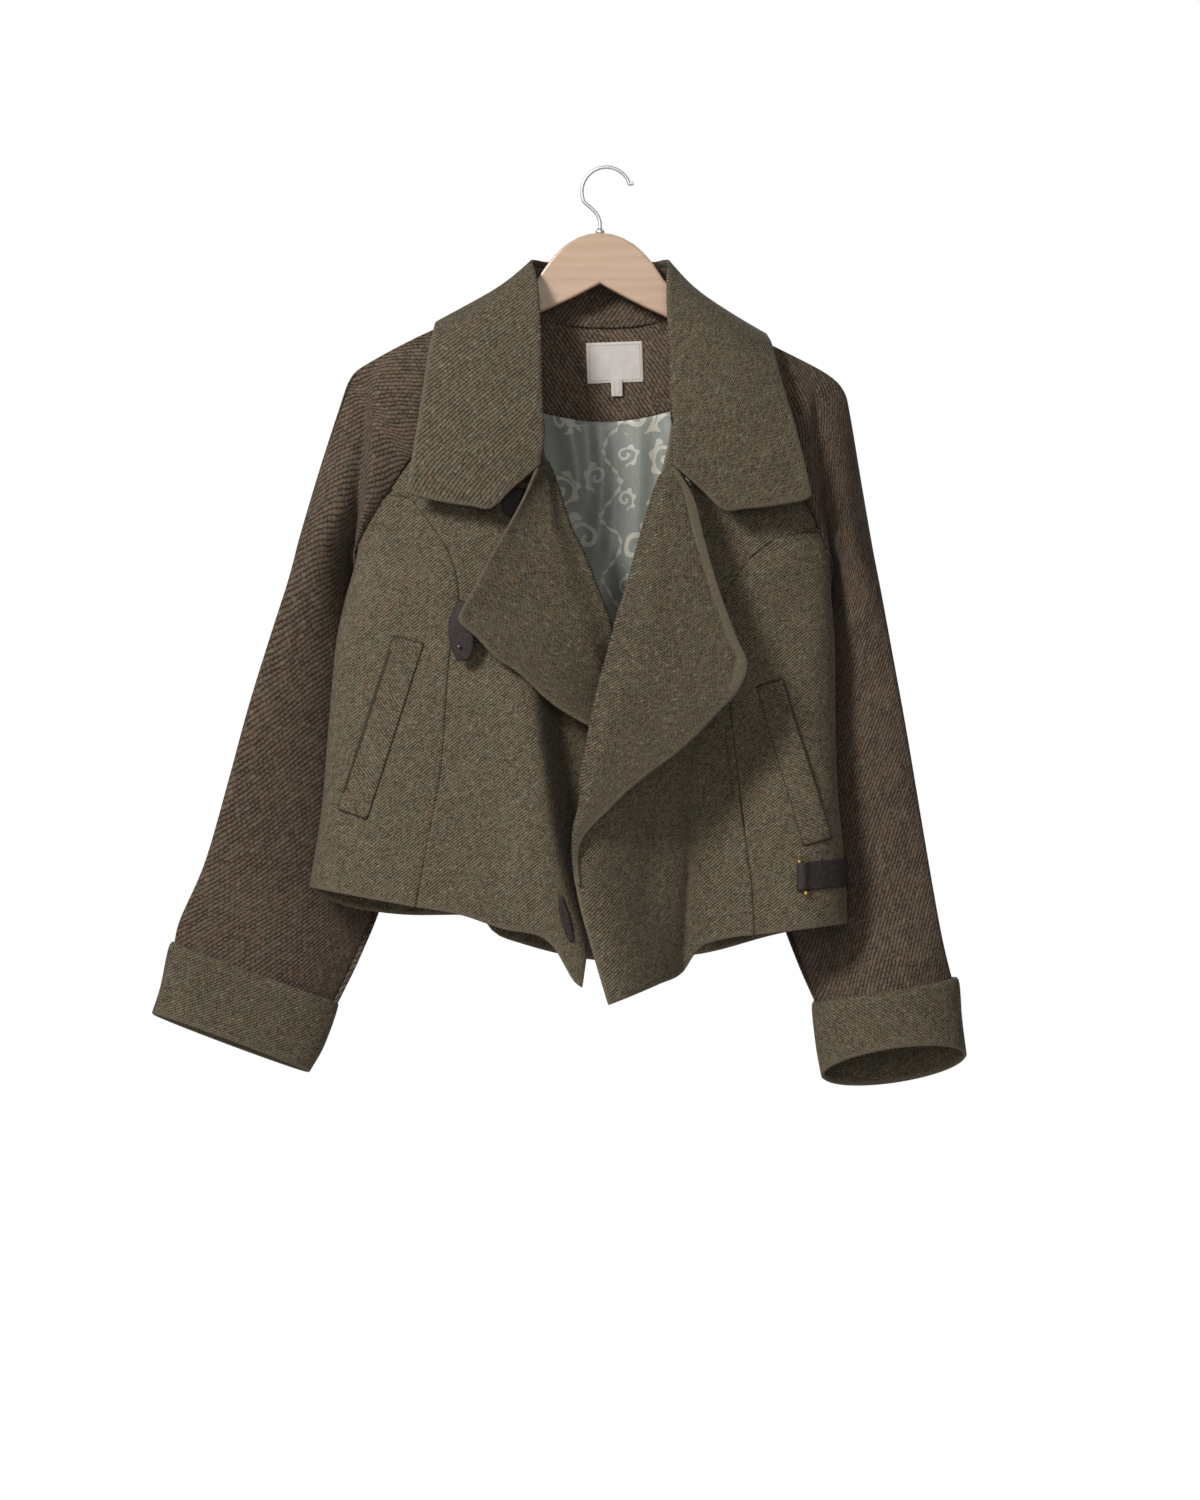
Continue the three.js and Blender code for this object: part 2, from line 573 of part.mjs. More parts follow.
// Below the underarm: the overarm line and the underarm seam, which passes behind the body.
const armLeft = [
  { ox: -289, oz: -352, oy: 4, ix: -235, iz: -362, iy: 3, front: 24, back: 40 },
  { ox: -299, oz: -390, oy: 5, ix: -234, iz: -398, iy: 28, front: 22, back: 40 },
  { ox: -317, oz: -445, oy: 6, ix: -218, iz: -455, iy: 60, front: 22, back: 30 },
  { ox: -338, oz: -512, oy: 7, ix: -208, iz: -530, iy: 74, front: 22, back: 24 },
  { ox: -358, oz: -585, oy: 9, ix: -203, iz: -610, iy: 78, front: 22, back: 20 },
  { ox: -380, oz: -660, oy: 13, ix: -215, iz: -690, iy: 72, front: 22, back: 18 },
  { ox: -399, oz: -712, oy: 17, ix: -236, iz: -748, iy: 56, front: 22, back: 19 },
  { ox: -408, oz: -740, oy: 20, ix: -259, iz: -797, iy: 42, front: 21, back: 20 },
];
const armRight = [
  { ox: 256, oz: -362, oy: 4, ix: 218, iz: -376, iy: 3, front: 24, back: 40 },
  { ox: 264, oz: -402, oy: 5, ix: 213, iz: -414, iy: 25, front: 22, back: 40 },
  { ox: 274, oz: -455, oy: 6, ix: 198, iz: -470, iy: 56, front: 23, back: 32 },
  { ox: 288, oz: -530, oy: 7, ix: 178, iz: -544, iy: 68, front: 26, back: 28 },
  { ox: 301, oz: -606, oy: 8, ix: 166, iz: -620, iy: 74, front: 25, back: 25 },
  { ox: 314, oz: -682, oy: 9, ix: 172, iz: -698, iy: 72, front: 24, back: 22 },
  { ox: 324, oz: -736, oy: 10, ix: 188, iz: -752, iy: 52, front: 30, back: 25 },
  { ox: 333, oz: -773, oy: 10, ix: 205, iz: -796, iy: 30, front: 34, back: 34 },
];
const SLEEVE_END = 0.99; // of the way to the seam
const SLEEVE_PART = 1.2; // each half of a sleeve stands this far from the line of its seams
const UPPER = 0.42; // of a sleeve's rows lie above the underarm

function sleevePoint(upper, lower, side, u, v) {
  const share = mix(0.012, 1, u);
  const swell = Math.sin(Math.PI * share) ** 0.75;
  if (v < UPPER) {
    const r = upper(v / UPPER);
    const [ex, ez] = side < 0 ? [r.fx, r.fz] : [r.gx, r.gz];
    const seamY = side < 0 ? frontY(ex, ez) : backY(ex, ez);
    const puff = side < 0 ? r.front * swell - r.dent * bell(share, r.at, 0.16) : r.back * swell;
    const raise = 7 * Math.sin(Math.PI * share) * (1 - ease((v / UPPER - 0.4) / 0.5));
    return new THREE.Vector3(mix(r.ox, ex, share), mix(r.oy, seamY, share) + side * puff, mix(r.oz, ez, share) + raise);
  }
  const r = lower((v - UPPER) / (1 - UPPER));
  const puff = side < 0 ? r.front : r.back;
  return new THREE.Vector3(
    mix(r.ox, r.ix, share),
    mix(r.oy, r.iy, share) + side * puff * swell,
    mix(r.oz, r.iz, share),
  );
}

for (const [side, above, below] of [["left", sleeveLeft, armLeft], ["right", sleeveRight, armRight]]) {
  const upper = stations(above);
  const lower = stations(below);
  for (const [face, way] of [["front", -1], ["back", 1]]) {
    const end = (u) => mix(0, SLEEVE_END, u);
    add(`sleeve_${face}_${side}`, sheet((u, v) => {
      const point = sleevePoint(upper, lower, way, end(u), v * 0.997);
      point.y += way * SLEEVE_PART;
      return point;
    }, 8, 22, CLOTH), BROWN);
  }
}

// Cuffs: a closed band round each sleeve end, from the cuff seam to the open rim.
const cuffLeft = stations([
  { ox: -412, oz: -738, oy: 20, ix: -255, iz: -796, iy: 41, front: 25.2, back: 25.2, tip: 0 },
  { ox: -421, oz: -778, oy: 20, ix: -268, iz: -834, iy: 38, front: 22, back: 22, tip: 2 },
  { ox: -429, oz: -803, oy: 20, ix: -282, iz: -859, iy: 36, front: 22, back: 22, tip: 4 },
]);
const cuffRight = stations([
  { ox: 337, oz: -771, oy: 10, ix: 201, iz: -795, iy: 30, front: 38, back: 38.6, tip: 0 },
  { ox: 340, oz: -808, oy: 6, ix: 204, iz: -832, iy: 20, front: 38, back: 38, tip: 12 },
  { ox: 344, oz: -842, oy: 2, ix: 209, iz: -861, iy: 14, front: 40, back: 42, tip: 19 },
]);
function cuffPoint(rows, u, v) {
  const r = rows(v);
  const turn = 2 * Math.PI * u;
  const share = (1 - Math.cos(turn)) / 2;
  const depth = Math.sin(turn);
  return new THREE.Vector3(
    mix(r.ox, r.ix, share),
    mix(r.oy, r.iy, share) - depth * (depth > 0 ? r.front : r.back),
    mix(r.oz, r.iz, share) + depth * r.tip,
  );
}
add("cuff_left", sheet((u, v) => cuffPoint(cuffLeft, u, v), 22, 3, FACED, true), OLIVE);
add("cuff_right", sheet((u, v) => cuffPoint(cuffRight, u, v), 22, 3, FACED, true), OLIVE);

// Slanted welt pockets, laid on the side panels.
const WELT_LIFT = 2.6;
function welt(corners, depth) {
  const [topLeft, topRight, lowRight, lowLeft] = corners;
  return sheet((u, v) => {
    const x = mix(mix(topLeft.x, topRight.x, u), mix(lowLeft.x, lowRight.x, u), v);
    const z = mix(mix(topLeft.z, topRight.z, u), mix(lowLeft.z, lowRight.z, u), v);
    return laid(x, z, depth, WELT_LIFT);
  }, 3, 8, CLOTH);
}
add("welt_left", welt([{ x: -197, z: -445 }, { x: -169, z: -452 }, { x: -222, z: -617 }, { x: -249, z: -608 }], frontLeftY), OLIVE);
add("welt_right", welt([{ x: 145, z: -492 }, { x: 169, z: -485 }, { x: 214, z: -635 }, { x: 189, z: -642 }], frontRightY), OLIVE);

// Leather fittings
function strap(rows, across, down, wall) {
  const row = stations(rows);
  return sheet((u, v) => {
    const r = row(v);
    return new THREE.Vector3(mix(r.ax, r.bx, u), mix(r.ay, r.by, u), mix(r.az, r.bz, u));
  }, across, down, wall);
}
add("strap_loop_left", strap([
  { ax: -136, ay: -66, az: -412, bx: -126, by: -67, bz: -414 },
  { ax: -143, ay: -66, az: -428, bx: -125, by: -70.6, bz: -428 },
  { ax: -144, ay: -66, az: -445, bx: -122, by: -69, bz: -445 },
  { ax: -140, ay: -66, az: -461, bx: -123, by: -67, bz: -461 },
  { ax: -136, ay: -66, az: -468, bx: -128, by: -66, bz: -467 },
], 4, 10, LEATHER), HIDE);
add("notch_tab_left", strap([
  { ax: -94, ay: -40.6, az: -306, bx: -74, by: -40.8, bz: -306 },
  { ax: -96, ay: -42, az: -320, bx: -80, by: -42.4, bz: -324 },
  { ax: -92, ay: -43, az: -330, bx: -84, by: -43.4, bz: -332 },
], 3, 6, LEATHER), HIDE);
const edgeTab = stations([
  { ax: -38, az: -690, bx: -35, bz: -689 },
  { ax: -37, az: -702, bx: -30, bz: -700 },
  { ax: -34, az: -714, bx: -26, bz: -711 },
  { ax: -30, az: -724, bx: -24, bz: -721 },
  { ax: -27, az: -731, bx: -24, bz: -730 },
]);
add("edge_tab_left", sheet((u, v) => {
  const r = edgeTab(v);
  return laid(mix(r.ax, r.bx, u), mix(r.az, r.bz, u), frontLeftY, LEATHER + 0.5);
}, 2, 6, LEATHER), HIDE);
add("side_tab_right", patch(181, 224, -657, -685, frontRightY, LEATHER + 0.5, 10, 3, LEATHER), HIDE);

function disc(name, x, y, z, radius, thick, look) {
  const button = add(name, new THREE.CylinderGeometry(radius, radius, thick, 16), look);
  button.position.set(x, y, z);
  return button;
}
disc("stud_left", -135, -69.2, -455, 2.6, 2, BRASS);
disc("snap_right", 80, -61.6, -300, 5, 2.4, STEEL);
const BAR_RADIUS = 2.2;
const bar = add("side_bar_right", new THREE.CylinderGeometry(BAR_RADIUS, BAR_RADIUS, 36, 12), BRASS);
bar.position.copy(laid(186, -672, frontRightY, 2 * LEATHER + BAR_RADIUS + 0.4));
bar.rotation.set(Math.PI / 2, 0, 0);

// Hanger: a wooden bow with a wire hook in a ferrule.
const bow = new THREE.Shape();
bow.moveTo(-3, -61);
bow.bezierCurveTo(-34, -62, -50, -86, -62, -104);
bow.lineTo(-84, -128);
bow.lineTo(-204, -191);
bow.quadraticCurveTo(-215, -202, -205, -208);
bow.lineTo(-100, -163);
bow.lineTo(-63, -138);
bow.quadraticCurveTo(-30, -124, -3, -109);
bow.quadraticCurveTo(26, -126, 60, -141);
bow.lineTo(98, -169);
bow.lineTo(194, -214);
bow.quadraticCurveTo(206, -208, 195, -197);
bow.lineTo(82, -131.4);
bow.lineTo(58, -106);
bow.bezierCurveTo(46, -88, 30, -62, -3, -61);
const BEVEL = 2;
const wood = new THREE.ExtrudeGeometry(bow, {
  depth: WOOD_THICK - 2 * BEVEL,
  bevelThickness: BEVEL,
  bevelSize: BEVEL,
  bevelOffset: -BEVEL,
  bevelSegments: 2,
  curveSegments: 8,
});
wood.rotateX(Math.PI / 2);
wood.translate(0, WOOD_THICK / 2 - BEVEL, 0);
add("hanger_wood", wood, BEECH);

const ferrule = new THREE.LatheGeometry([
  new THREE.Vector2(0, 0),
  new THREE.Vector2(4, 0),
  new THREE.Vector2(4, 2),
  new THREE.Vector2(2.8, 4),
  new THREE.Vector2(0, 4),
], 16);
ferrule.rotateX(Math.PI / 2);
ferrule.translate(-3, 0, -60.7);
add("ferrule", ferrule, STEEL);

// The hook is an open circle on a stem. The arch's underside is the origin.
const arch = { x: 3, z: -HOOK_RADIUS };
const wire = HOOK_RADIUS + HOOK_WIRE / 2;
const route = [
  new THREE.Vector3(-3, 0, -56.4),
  new THREE.Vector3(-3.2, 0, -50),
  new THREE.Vector3(-6, 0, -43),
  new THREE.Vector3(-12, 0, -36.5),
];
for (let turn = 205; turn >= 18; turn -= 17) {
  const angle = THREE.MathUtils.degToRad(turn);
  route.push(new THREE.Vector3(arch.x + wire * Math.cos(angle), 0, arch.z + wire * Math.sin(angle)));
}
route.push(new THREE.Vector3(28.6, 0, -13.4));
const circle = new THREE.Shape();
circle.absarc(0, 0, HOOK_WIRE / 2, 0, 2 * Math.PI);
add("hook", new THREE.ExtrudeGeometry(circle, {
  steps: 48,
  curveSegments: 4,
  extrudePath: new THREE.CatmullRomCurve3(route),
}), STEEL);

for (const mesh of jacket.children) {
  const plain = mesh.geometry.clone();
  plain.deleteAttribute("normal");
  plain.deleteAttribute("uv");
  mesh.geometry = mergeVertices(plain, 1e-3);
  mesh.geometry.computeVertexNormals();
}

export default jacket;
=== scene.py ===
import math

import bmesh
import bpy
import numpy as np
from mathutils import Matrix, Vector


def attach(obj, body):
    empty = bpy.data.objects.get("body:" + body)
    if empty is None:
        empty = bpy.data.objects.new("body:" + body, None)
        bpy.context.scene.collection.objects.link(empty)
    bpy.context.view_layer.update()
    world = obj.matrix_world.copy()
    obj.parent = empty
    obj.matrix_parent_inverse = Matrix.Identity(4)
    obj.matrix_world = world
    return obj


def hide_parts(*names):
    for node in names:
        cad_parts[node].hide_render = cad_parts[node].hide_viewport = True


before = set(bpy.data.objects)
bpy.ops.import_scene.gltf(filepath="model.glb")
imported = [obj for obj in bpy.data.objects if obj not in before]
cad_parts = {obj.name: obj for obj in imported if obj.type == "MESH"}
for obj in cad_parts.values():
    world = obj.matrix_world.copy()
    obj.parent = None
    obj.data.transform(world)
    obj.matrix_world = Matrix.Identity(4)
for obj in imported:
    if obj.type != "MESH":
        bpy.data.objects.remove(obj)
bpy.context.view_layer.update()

# A short tweed jacket hanging open on a wooden hanger. Left and right are as seen from the front,
# the front faces -Y, and tables are in millimetres with z down from the hook's arch.
MM = 0.001

# Camera: square to the front, as far back as the flat look of the picture asks.
PIXEL = 0.95 * MM
PICTURE_HEIGHT = 1500 * PIXEL
CAMERA_BACK = 5.0
CAMERA_X, CAMERA_Z = -0.003, -0.552
FILM = 36.0

camera_data = bpy.data.cameras.new("camera")
camera_data.sensor_width = FILM
camera_data.lens = FILM * CAMERA_BACK / PICTURE_HEIGHT
camera_data.clip_end = 100
camera = bpy.data.objects.new("camera", camera_data)
camera.location = (CAMERA_X, -CAMERA_BACK, CAMERA_Z)
camera.rotation_euler = (math.pi / 2, 0, 0)
bpy.context.scene.collection.objects.link(camera)
bpy.context.scene.camera = camera


# Shader expressions
class Value:
    """A socket of a material's nodes, which arithmetic turns into Math nodes."""

    def __init__(self, finish, socket):
        self.finish, self.socket = finish, socket

    def math(self, operation, *others):
        return self.finish.node("Math", {"operation": operation}, self, *others)

    def __add__(self, other):
        return self.math("ADD", other)

    __radd__ = __add__

    def __mul__(self, other):
        return self.math("MULTIPLY", other)

    __rmul__ = __mul__

    def __sub__(self, other):
        return self.math("SUBTRACT", other)

    def __rsub__(self, other):
        return self * -1 + other

    def __truediv__(self, other):
        return self.math("DIVIDE", other)

    def __neg__(self):
        return self * -1


class Finish:
    """One material: its nodes, and the shader that they feed."""

    def __init__(self, name, **shader):
        self.material = bpy.data.materials.new(name)
        self.material.use_nodes = True
        self.tree = self.material.node_tree
        self.shader = self.tree.nodes["Principled BSDF"]
        for socket, value in shader.items():
            self.shader.inputs[socket.replace("_", " ")].default_value = value

    def node(self, kind, settings, *inputs, out=0, **named):
        made = self.tree.nodes.new("ShaderNode" + kind)
        for key, value in settings.items():
            setattr(made, key, value)
        for i, value in list(enumerate(inputs)) + list(named.items()):
            socket = made.inputs[i.replace("_", " ") if isinstance(i, str) else i]
            if isinstance(value, Value):
                self.tree.links.new(value.socket, socket)
            elif value is not None:
                socket.default_value = value
        return Value(self, made.outputs[out])

    def feed(self, name, value):
        self.tree.links.new(value.socket, self.shader.inputs[name])

    def cloth_place(self):
        """Metres across and down the cut piece, as two values."""
        place = self.node("UVMap", {"uv_map": "cloth"})
        apart = self.node("SeparateXYZ", {}, place)
        return apart, Value(self, apart.socket.node.outputs[1])

    def ramp(self, value, stops):
        made = self.node("ValToRGB", {}, value)
        band = made.socket.node.color_ramp
        while len(band.elements) < len(stops):
            band.elements.new(0.5)
        for element, (at, colour) in zip(band.elements, stops):
            element.position, element.color = at, (*colour, 1)
        return made

    def blend(self, share, first, second, way="MIX"):
        made = self.node("Mix", {"data_type": "RGBA", "blend_type": way}, share)
        for socket, value in zip((6, 7), (first, second)):
            if isinstance(value, Value):
                self.tree.links.new(value.socket, made.socket.node.inputs[socket])
            else:
                made.socket.node.inputs[socket].default_value = (*value, 1)
        return Value(self, made.socket.node.outputs[2])

    def place(self, x, y, z=0.0):
        return self.node("CombineXYZ", {}, x, y, z)

    def noise(self, where, scale, detail=2.0, rough=0.5, out=0):
        return self.node(
            "TexNoise", {}, Vector=where, Scale=scale, Detail=detail, Roughness=rough, out=out
        )

    def bump(self, height, strength, distance, onto=None):
        made = self.node("Bump", {}, Strength=strength, Distance=distance, Height=height)
        if onto is not None:
            self.tree.links.new(onto.socket, made.socket.node.inputs["Normal"])
        return made


def wool(name, wale, float_length, lean, base, flecks, contrast):
    """Twill wool: wales wale metres apart, leaning lean degrees, each yarn float its own shade of base."""
    w = Finish(name, Sheen_Weight=0.08, Sheen_Roughness=0.5)
    w.shader.inputs["Specular IOR Level"].default_value = 0.1
    x, y = w.cloth_place()
    where = w.place(x, y)
    sway = w.noise(where, 40, 3) - 0.5
    turn = math.radians(lean)
    across = (x * math.sin(turn) + y * math.cos(turn) + sway * (0.7 * wale)) / wale
    along = (x * math.cos(turn) - y * math.sin(turn)) / float_length
    row = across.math("FLOOR")
    along = along + row * 0.37
    stitch = along.math("FLOOR")
    shade = w.node("TexWhiteNoise", {"noise_dimensions": "2D"}, w.place(row, stitch))
    pick = w.node("TexWhiteNoise", {"noise_dimensions": "2D"}, w.place(stitch, row + 0.5))
    in_row = across.math("FRACT") - 0.5
    in_stitch = along.math("FRACT") - 0.5
    ridge = 1 - in_row * in_row * 4
    swell = ridge * (1 - in_stitch * in_stitch * 1.6)
    fuzz = w.noise(where, 1300, 3, 0.7)
    grain = w.noise(where, 480, 2, 0.65)
    patches = w.noise(where, 75, 3, 0.6)
    clouds = w.noise(where, 14, 3, 0.55)
    woven = (shade - 0.5) * 0.2 + (swell - 0.52) * 0.5
    hairy = (fuzz - 0.5) * 0.8 + (grain - 0.5) * 1.1
    tone = 0.5 + contrast * (woven + hairy)
    tone = tone + (patches - 0.5) * 0.3 + (clouds - 0.5) * 0.3
    dark = tuple(c * 0.38 for c in base)
    light = tuple(c * 1.75 for c in base)
    colour = w.ramp(tone, [(0.0, dark), (0.5, base), (1.0, light)])
    hue_noise = w.noise(where, 420, 3, 0.7) * 0.8 + w.noise(where, 50, 2, 0.6) * 0.2
    hue = w.ramp(hue_noise, [(0.34, (0.8, 1.05, 1.0)), (0.5, (1.0, 1.0, 0.97)), (0.66, (1.28, 0.96, 0.78))])
    colour = w.blend(1.0, colour, hue, "MULTIPLY")
    which = w.ramp(pick, [(i / len(flecks), c) for i, c in enumerate(flecks)])
    which.socket.node.color_ramp.interpolation = "CONSTANT"
    chance = w.node("TexWhiteNoise", {"noise_dimensions": "2D"}, w.place(stitch + 0.3, row))
    chosen = chance.math("LESS_THAN", 0.22)
    colour = w.blend(chosen * swell * 0.36, colour, which)
    from_edge = w.node("SeparateXYZ", {}, w.node("UVMap", {"uv_map": "rim"}))
    from_seam = Value(w, from_edge.socket.node.outputs[1])
    # Towards open edges the colour lightens over 4.2 mm: rubbed wear, together with a painted highlight along
    # the rim.
    worn = 1 - (from_edge / 0.0042).math("MINIMUM", 1.0)
    colour = w.blend(worn * (0.32 + fuzz * 0.6), colour, light)
    # Painted seam shadow: within about a millimetre of a seam line the colour darkens towards 0.16 of the
    # base.
    seam_shadow = 1 - ((from_seam - 0.0002) / 0.001).math("MAXIMUM", 0.0).math("MINIMUM", 1.0)
    colour = w.blend(seam_shadow * 0.72, colour, tuple(c * 0.16 for c in base))
    w.feed("Base Color", colour)
    w.feed("Roughness", 0.86 + fuzz * 0.14)
    height = swell * 0.5 + fuzz * 0.6 + shade * 0.12
    w.feed("Normal", w.bump(height, 0.5, wale * 0.16))
    return w.material


# Scrolls within one repeat: place across and down, size, hand and number of turns
SCROLLS = [
    (0.026, 0.016, 0.020, 1, 1.4),
    (-0.026, 0.026, 0.017, -1, 1.3),
    (0.014, 0.062, 0.009, 1, 1.1),
    (-0.013, 0.084, 0.010, -1, 1.2),
    (0.014, 0.104, 0.009, 1, 1.1),
    (-0.050, 0.012, 0.012, 1, 1.2),
    (0.052, 0.056, 0.011, -1, 1.2),
    (-0.048, 0.072, 0.013, 1, 1.3),
    (0.054, 0.102, 0.012, -1, 1.2),
]
REPEAT_ACROSS, REPEAT_DOWN = 0.14, 0.125


def satin_brocade(name):
    """Grey green satin with a wandering vine, its scrolls and its leaves woven in pale thread."""
    s = Finish(name)
    x, y = s.cloth_place()
    where = s.place(x, y)
    x = x + (s.noise(where, 36, 1) - 0.5) * 0.012
    y = y + (s.noise(s.place(y, x), 36, 1) - 0.5) * 0.012
    rows = (y / REPEAT_DOWN).math("FRACT") * REPEAT_DOWN
    cols = ((x / REPEAT_ACROSS + 0.5).math("FRACT") - 0.5) * REPEAT_ACROSS
    vine = cols - (rows * (4 * math.pi / REPEAT_DOWN)).math("SINE") * 0.009
    beads = (rows * (26 * math.pi / REPEAT_DOWN)).math("SINE") * 0.0011
    figure = vine.math("ABSOLUTE").math("LESS_THAN", beads + 0.0015)
    for across, down, size, hand, turns in SCROLLS:
        px, py = (cols - across) / size, (rows - down) / size
        far = (px * px + py * py).math("SQRT")
        angle = py.math("ARCTAN2", px * hand)
        wound = (far * turns + angle * (0.5 / math.pi)).math("FRACT")
        line = wound.math("LESS_THAN", 0.46 - far * 0.16) * far.math("LESS_THAN", 1.0)
        lobes = 1.3 + (angle * 7).math("SINE") * 0.16
        around_scroll = far.math("LESS_THAN", lobes) * far.math("GREATER_THAN", 1.0)
        leaf = around_scroll * (px * hand).math("GREATER_THAN", 0.15)
        figure = figure.math("MAXIMUM", line).math("MAXIMUM", leaf)
    thread = s.noise(s.place(x * 900, y * 90), 1.0, 2)
    ground = s.blend(thread, (0.235, 0.25, 0.218), (0.36, 0.375, 0.33))
    pale = s.blend(thread, (0.52, 0.485, 0.4), (0.8, 0.76, 0.64))
    s.feed("Base Color", s.blend(figure * 0.8, ground, pale))
    s.feed("Roughness", 0.34 + figure * 0.16)
    s.feed("Normal", s.bump(figure * 0.5 + thread * 0.5, 0.3, 0.0003))
    return s.material


def ribbon(name):
    s = Finish(name, Roughness=0.5, Sheen_Weight=0.2)
    x, y = s.cloth_place()
    ribs = (y * (2 * math.pi / 0.0009)).math("SINE")
    cloudy = s.noise(s.place(x, y), 120, 2)
    satin = s.blend(cloudy, (0.6, 0.54, 0.49), (0.78, 0.72, 0.67))
    rim = s.node("SeparateXYZ", {}, s.node("UVMap", {"uv_map": "rim"}))
    band = ((rim - 0.0024).math("ABSOLUTE")).math("LESS_THAN", 0.0005)
    dashes = ((x + y) * (2 * math.pi / 0.003)).math("SINE").math("GREATER_THAN", -0.4)
    s.feed("Base Color", s.blend(band * dashes * 0.6, satin, (0.3, 0.24, 0.19)))
    s.feed("Normal", s.bump(ribs * 0.5 + cloudy, 0.3, 0.0003))
    return s.material


def hide(name):
    h = Finish(name)
    h.shader.inputs["Specular IOR Level"].default_value = 0.4
    x, y = h.cloth_place()
    grain = h.node("TexVoronoi", {"feature": "DISTANCE_TO_EDGE"}, Vector=h.place(x, y), Scale=900.0)
    worn = h.noise(h.place(x, y), 240, 4, 0.6)
    h.feed("Base Color", h.ramp(worn, [(0.3, (0.012, 0.008, 0.008)), (0.75, (0.05, 0.033, 0.028))]))
    h.feed("Roughness", 0.45 + worn * 0.25)
    h.feed("Normal", h.bump(grain.math("MINIMUM", 0.2) * 4 + worn, 0.4, 0.0004))
    return h.material


def beech(name):
    b = Finish(name, Coat_Weight=0.35)
    b.shader.inputs["Coat Roughness"].default_value = 0.22
    place = b.node("TexCoord", {}, out=3)
    apart = b.node("SeparateXYZ", {}, place)
    up = Value(b, apart.socket.node.outputs[2])
    waves = b.noise(b.place(apart * 3, 0.0, up * 22), 1.6, 3, 0.5)
    rings = ((waves * 16 + up * 620).math("SINE") * 0.5 + 0.5) * 0.22 + waves * 0.78
    pores = b.noise(b.place(apart * 70, 0.0, up * 900), 1.0, 2)
    late, middle, early = (0.5, 0.325, 0.205), (0.58, 0.385, 0.255), (0.64, 0.44, 0.305)
    colour = b.ramp(rings, [(0.15, late), (0.5, middle), (0.85, early)])
    b.feed("Base Color", b.blend(pores.math("GREATER_THAN", 0.66) * 0.25, colour, (0.36, 0.2, 0.1)))
    b.feed("Roughness", 0.42 + waves * 0.15)
    b.feed("Normal", b.bump(rings * 0.4 + pores * 0.4, 0.12, 0.0004))
    return b.material


def metal(name, colour, rough, wear, dents=0.0002):
    m = Finish(name, Metallic=1.0)
    place = m.node("TexCoord", {}, out=3)
    marks = m.noise(place, 420, 3)
    m.feed("Base Color", m.blend(marks, colour, tuple(c * wear for c in colour)))
    m.feed("Roughness", rough + marks * 0.18)
    m.feed("Normal", m.bump(marks, 0.08, dents))
    return m.material


OLIVE_FLECKS = [
    (0.04, 0.06, 0.04),
    (0.2, 0.09, 0.035),
    (0.3, 0.27, 0.2),
    (0.06, 0.07, 0.075),
    (0.16, 0.14, 0.06),
]
BROWN_FLECKS = [(0.17, 0.075, 0.04), (0.05, 0.05, 0.05), (0.22, 0.17, 0.12), (0.1, 0.05, 0.035)]
OLIVE, BROWN = (0.105, 0.086, 0.059), (0.083, 0.061, 0.045)
FINE_WALE, FINE_FLOAT = 0.0024, 0.0034
COARSE_WALE, COARSE_FLOAT = 0.0036, 0.0062



def shaded(colour, share):
    return tuple(part * share for part in colour)


def tweed(name, lean, share=1.0):
    return wool(name, FINE_WALE, FINE_FLOAT, lean, shaded(OLIVE, share), OLIVE_FLECKS, 3.0)


def twill(name, lean, share=1.0):
    return wool(name, COARSE_WALE, COARSE_FLOAT, lean, shaded(BROWN, share), BROWN_FLECKS, 2.8)


FINISHES = {
    "olive": tweed("olive_tweed", -38),
    "olive_back": tweed("olive_tweed_turned", 38, 0.88),
    # Painted shade: the lapels' tweed is a copy of the olive at 0.78, darkened for the light that they turn
    # away from.
    "lapel_olive_painted_shade": tweed("lapel_tweed_painted_shade", 44, 0.78),
    "brown": twill("brown_twill", 54),
    # Painted light: the neck facing's twill is a copy of the brown at 1.35, lightened for light that doesn't
    # reach inside the back.
    "facing_brown_painted_light": twill("facing_twill_painted_light", 54, 1.35),
    "brown_turned": twill("brown_twill_turned", -60),
    "satin": satin_brocade("brocade_satin"),
    "ribbon": ribbon("label_ribbon"),
    "hide": hide("dark_leather"),
    "beech": beech("varnished_beech"),
    "wire": metal("plated_wire", (0.9, 0.9, 0.89), 0.42, 0.94, 0.00002),
    "dull_metal": metal("dull_metal", (0.22, 0.21, 0.2), 0.35, 0.6),
    "brass": metal("aged_brass", (0.62, 0.42, 0.16), 0.3, 0.6),
}


# Curves from short tables
def mix(a, b, share):
    return a + (b - a) * share


def ease(value):
    value = np.clip(value, 0, 1)
    return value * value * (3 - 2 * value)


def bell(value, middle, width):
    return np.exp(-(((value - middle) / width) ** 2))


def curve(at, values):
    """A smooth function through values at the places in at."""
    at, values = np.asarray(at, float), np.asarray(values, float)
    if at[0] > at[-1]:
        at, values = at[::-1], values[::-1]
    last = len(at) - 1
    low = np.maximum(np.arange(last + 1) - 1, 0)
    high = np.minimum(np.arange(last + 1) + 1, last)
    slopes = (values[high] - values[low]) / (at[high] - at[low])

    def read(where):
        where = np.clip(where, at[0], at[-1])
        i = np.clip(np.searchsorted(at, where, side="right") - 1, 0, last - 1)
        span = at[i + 1] - at[i]
        t = (where - at[i]) / span
        start = t * (1 - t) ** 2 * span * slopes[i]
        end = t * t * (1 - t) * span * slopes[i + 1]
        return mix(values[i], values[i + 1], t * t * (3 - 2 * t)) + start - end

    return read


def columns(table):
    """A table as text, its first line naming the columns: each column by name."""
    lines = [line.split() for line in table.strip().splitlines()]
    numbers = np.array([[float(n) for n in line] for line in lines[1:]])
    return dict(zip(lines[0], numbers.T))


def curves(key, table):
    """Each other column of the table as a smooth function of the column key."""
    found = columns(table)
    return {name: curve(found[key], found[name]) for name in found if name != key}


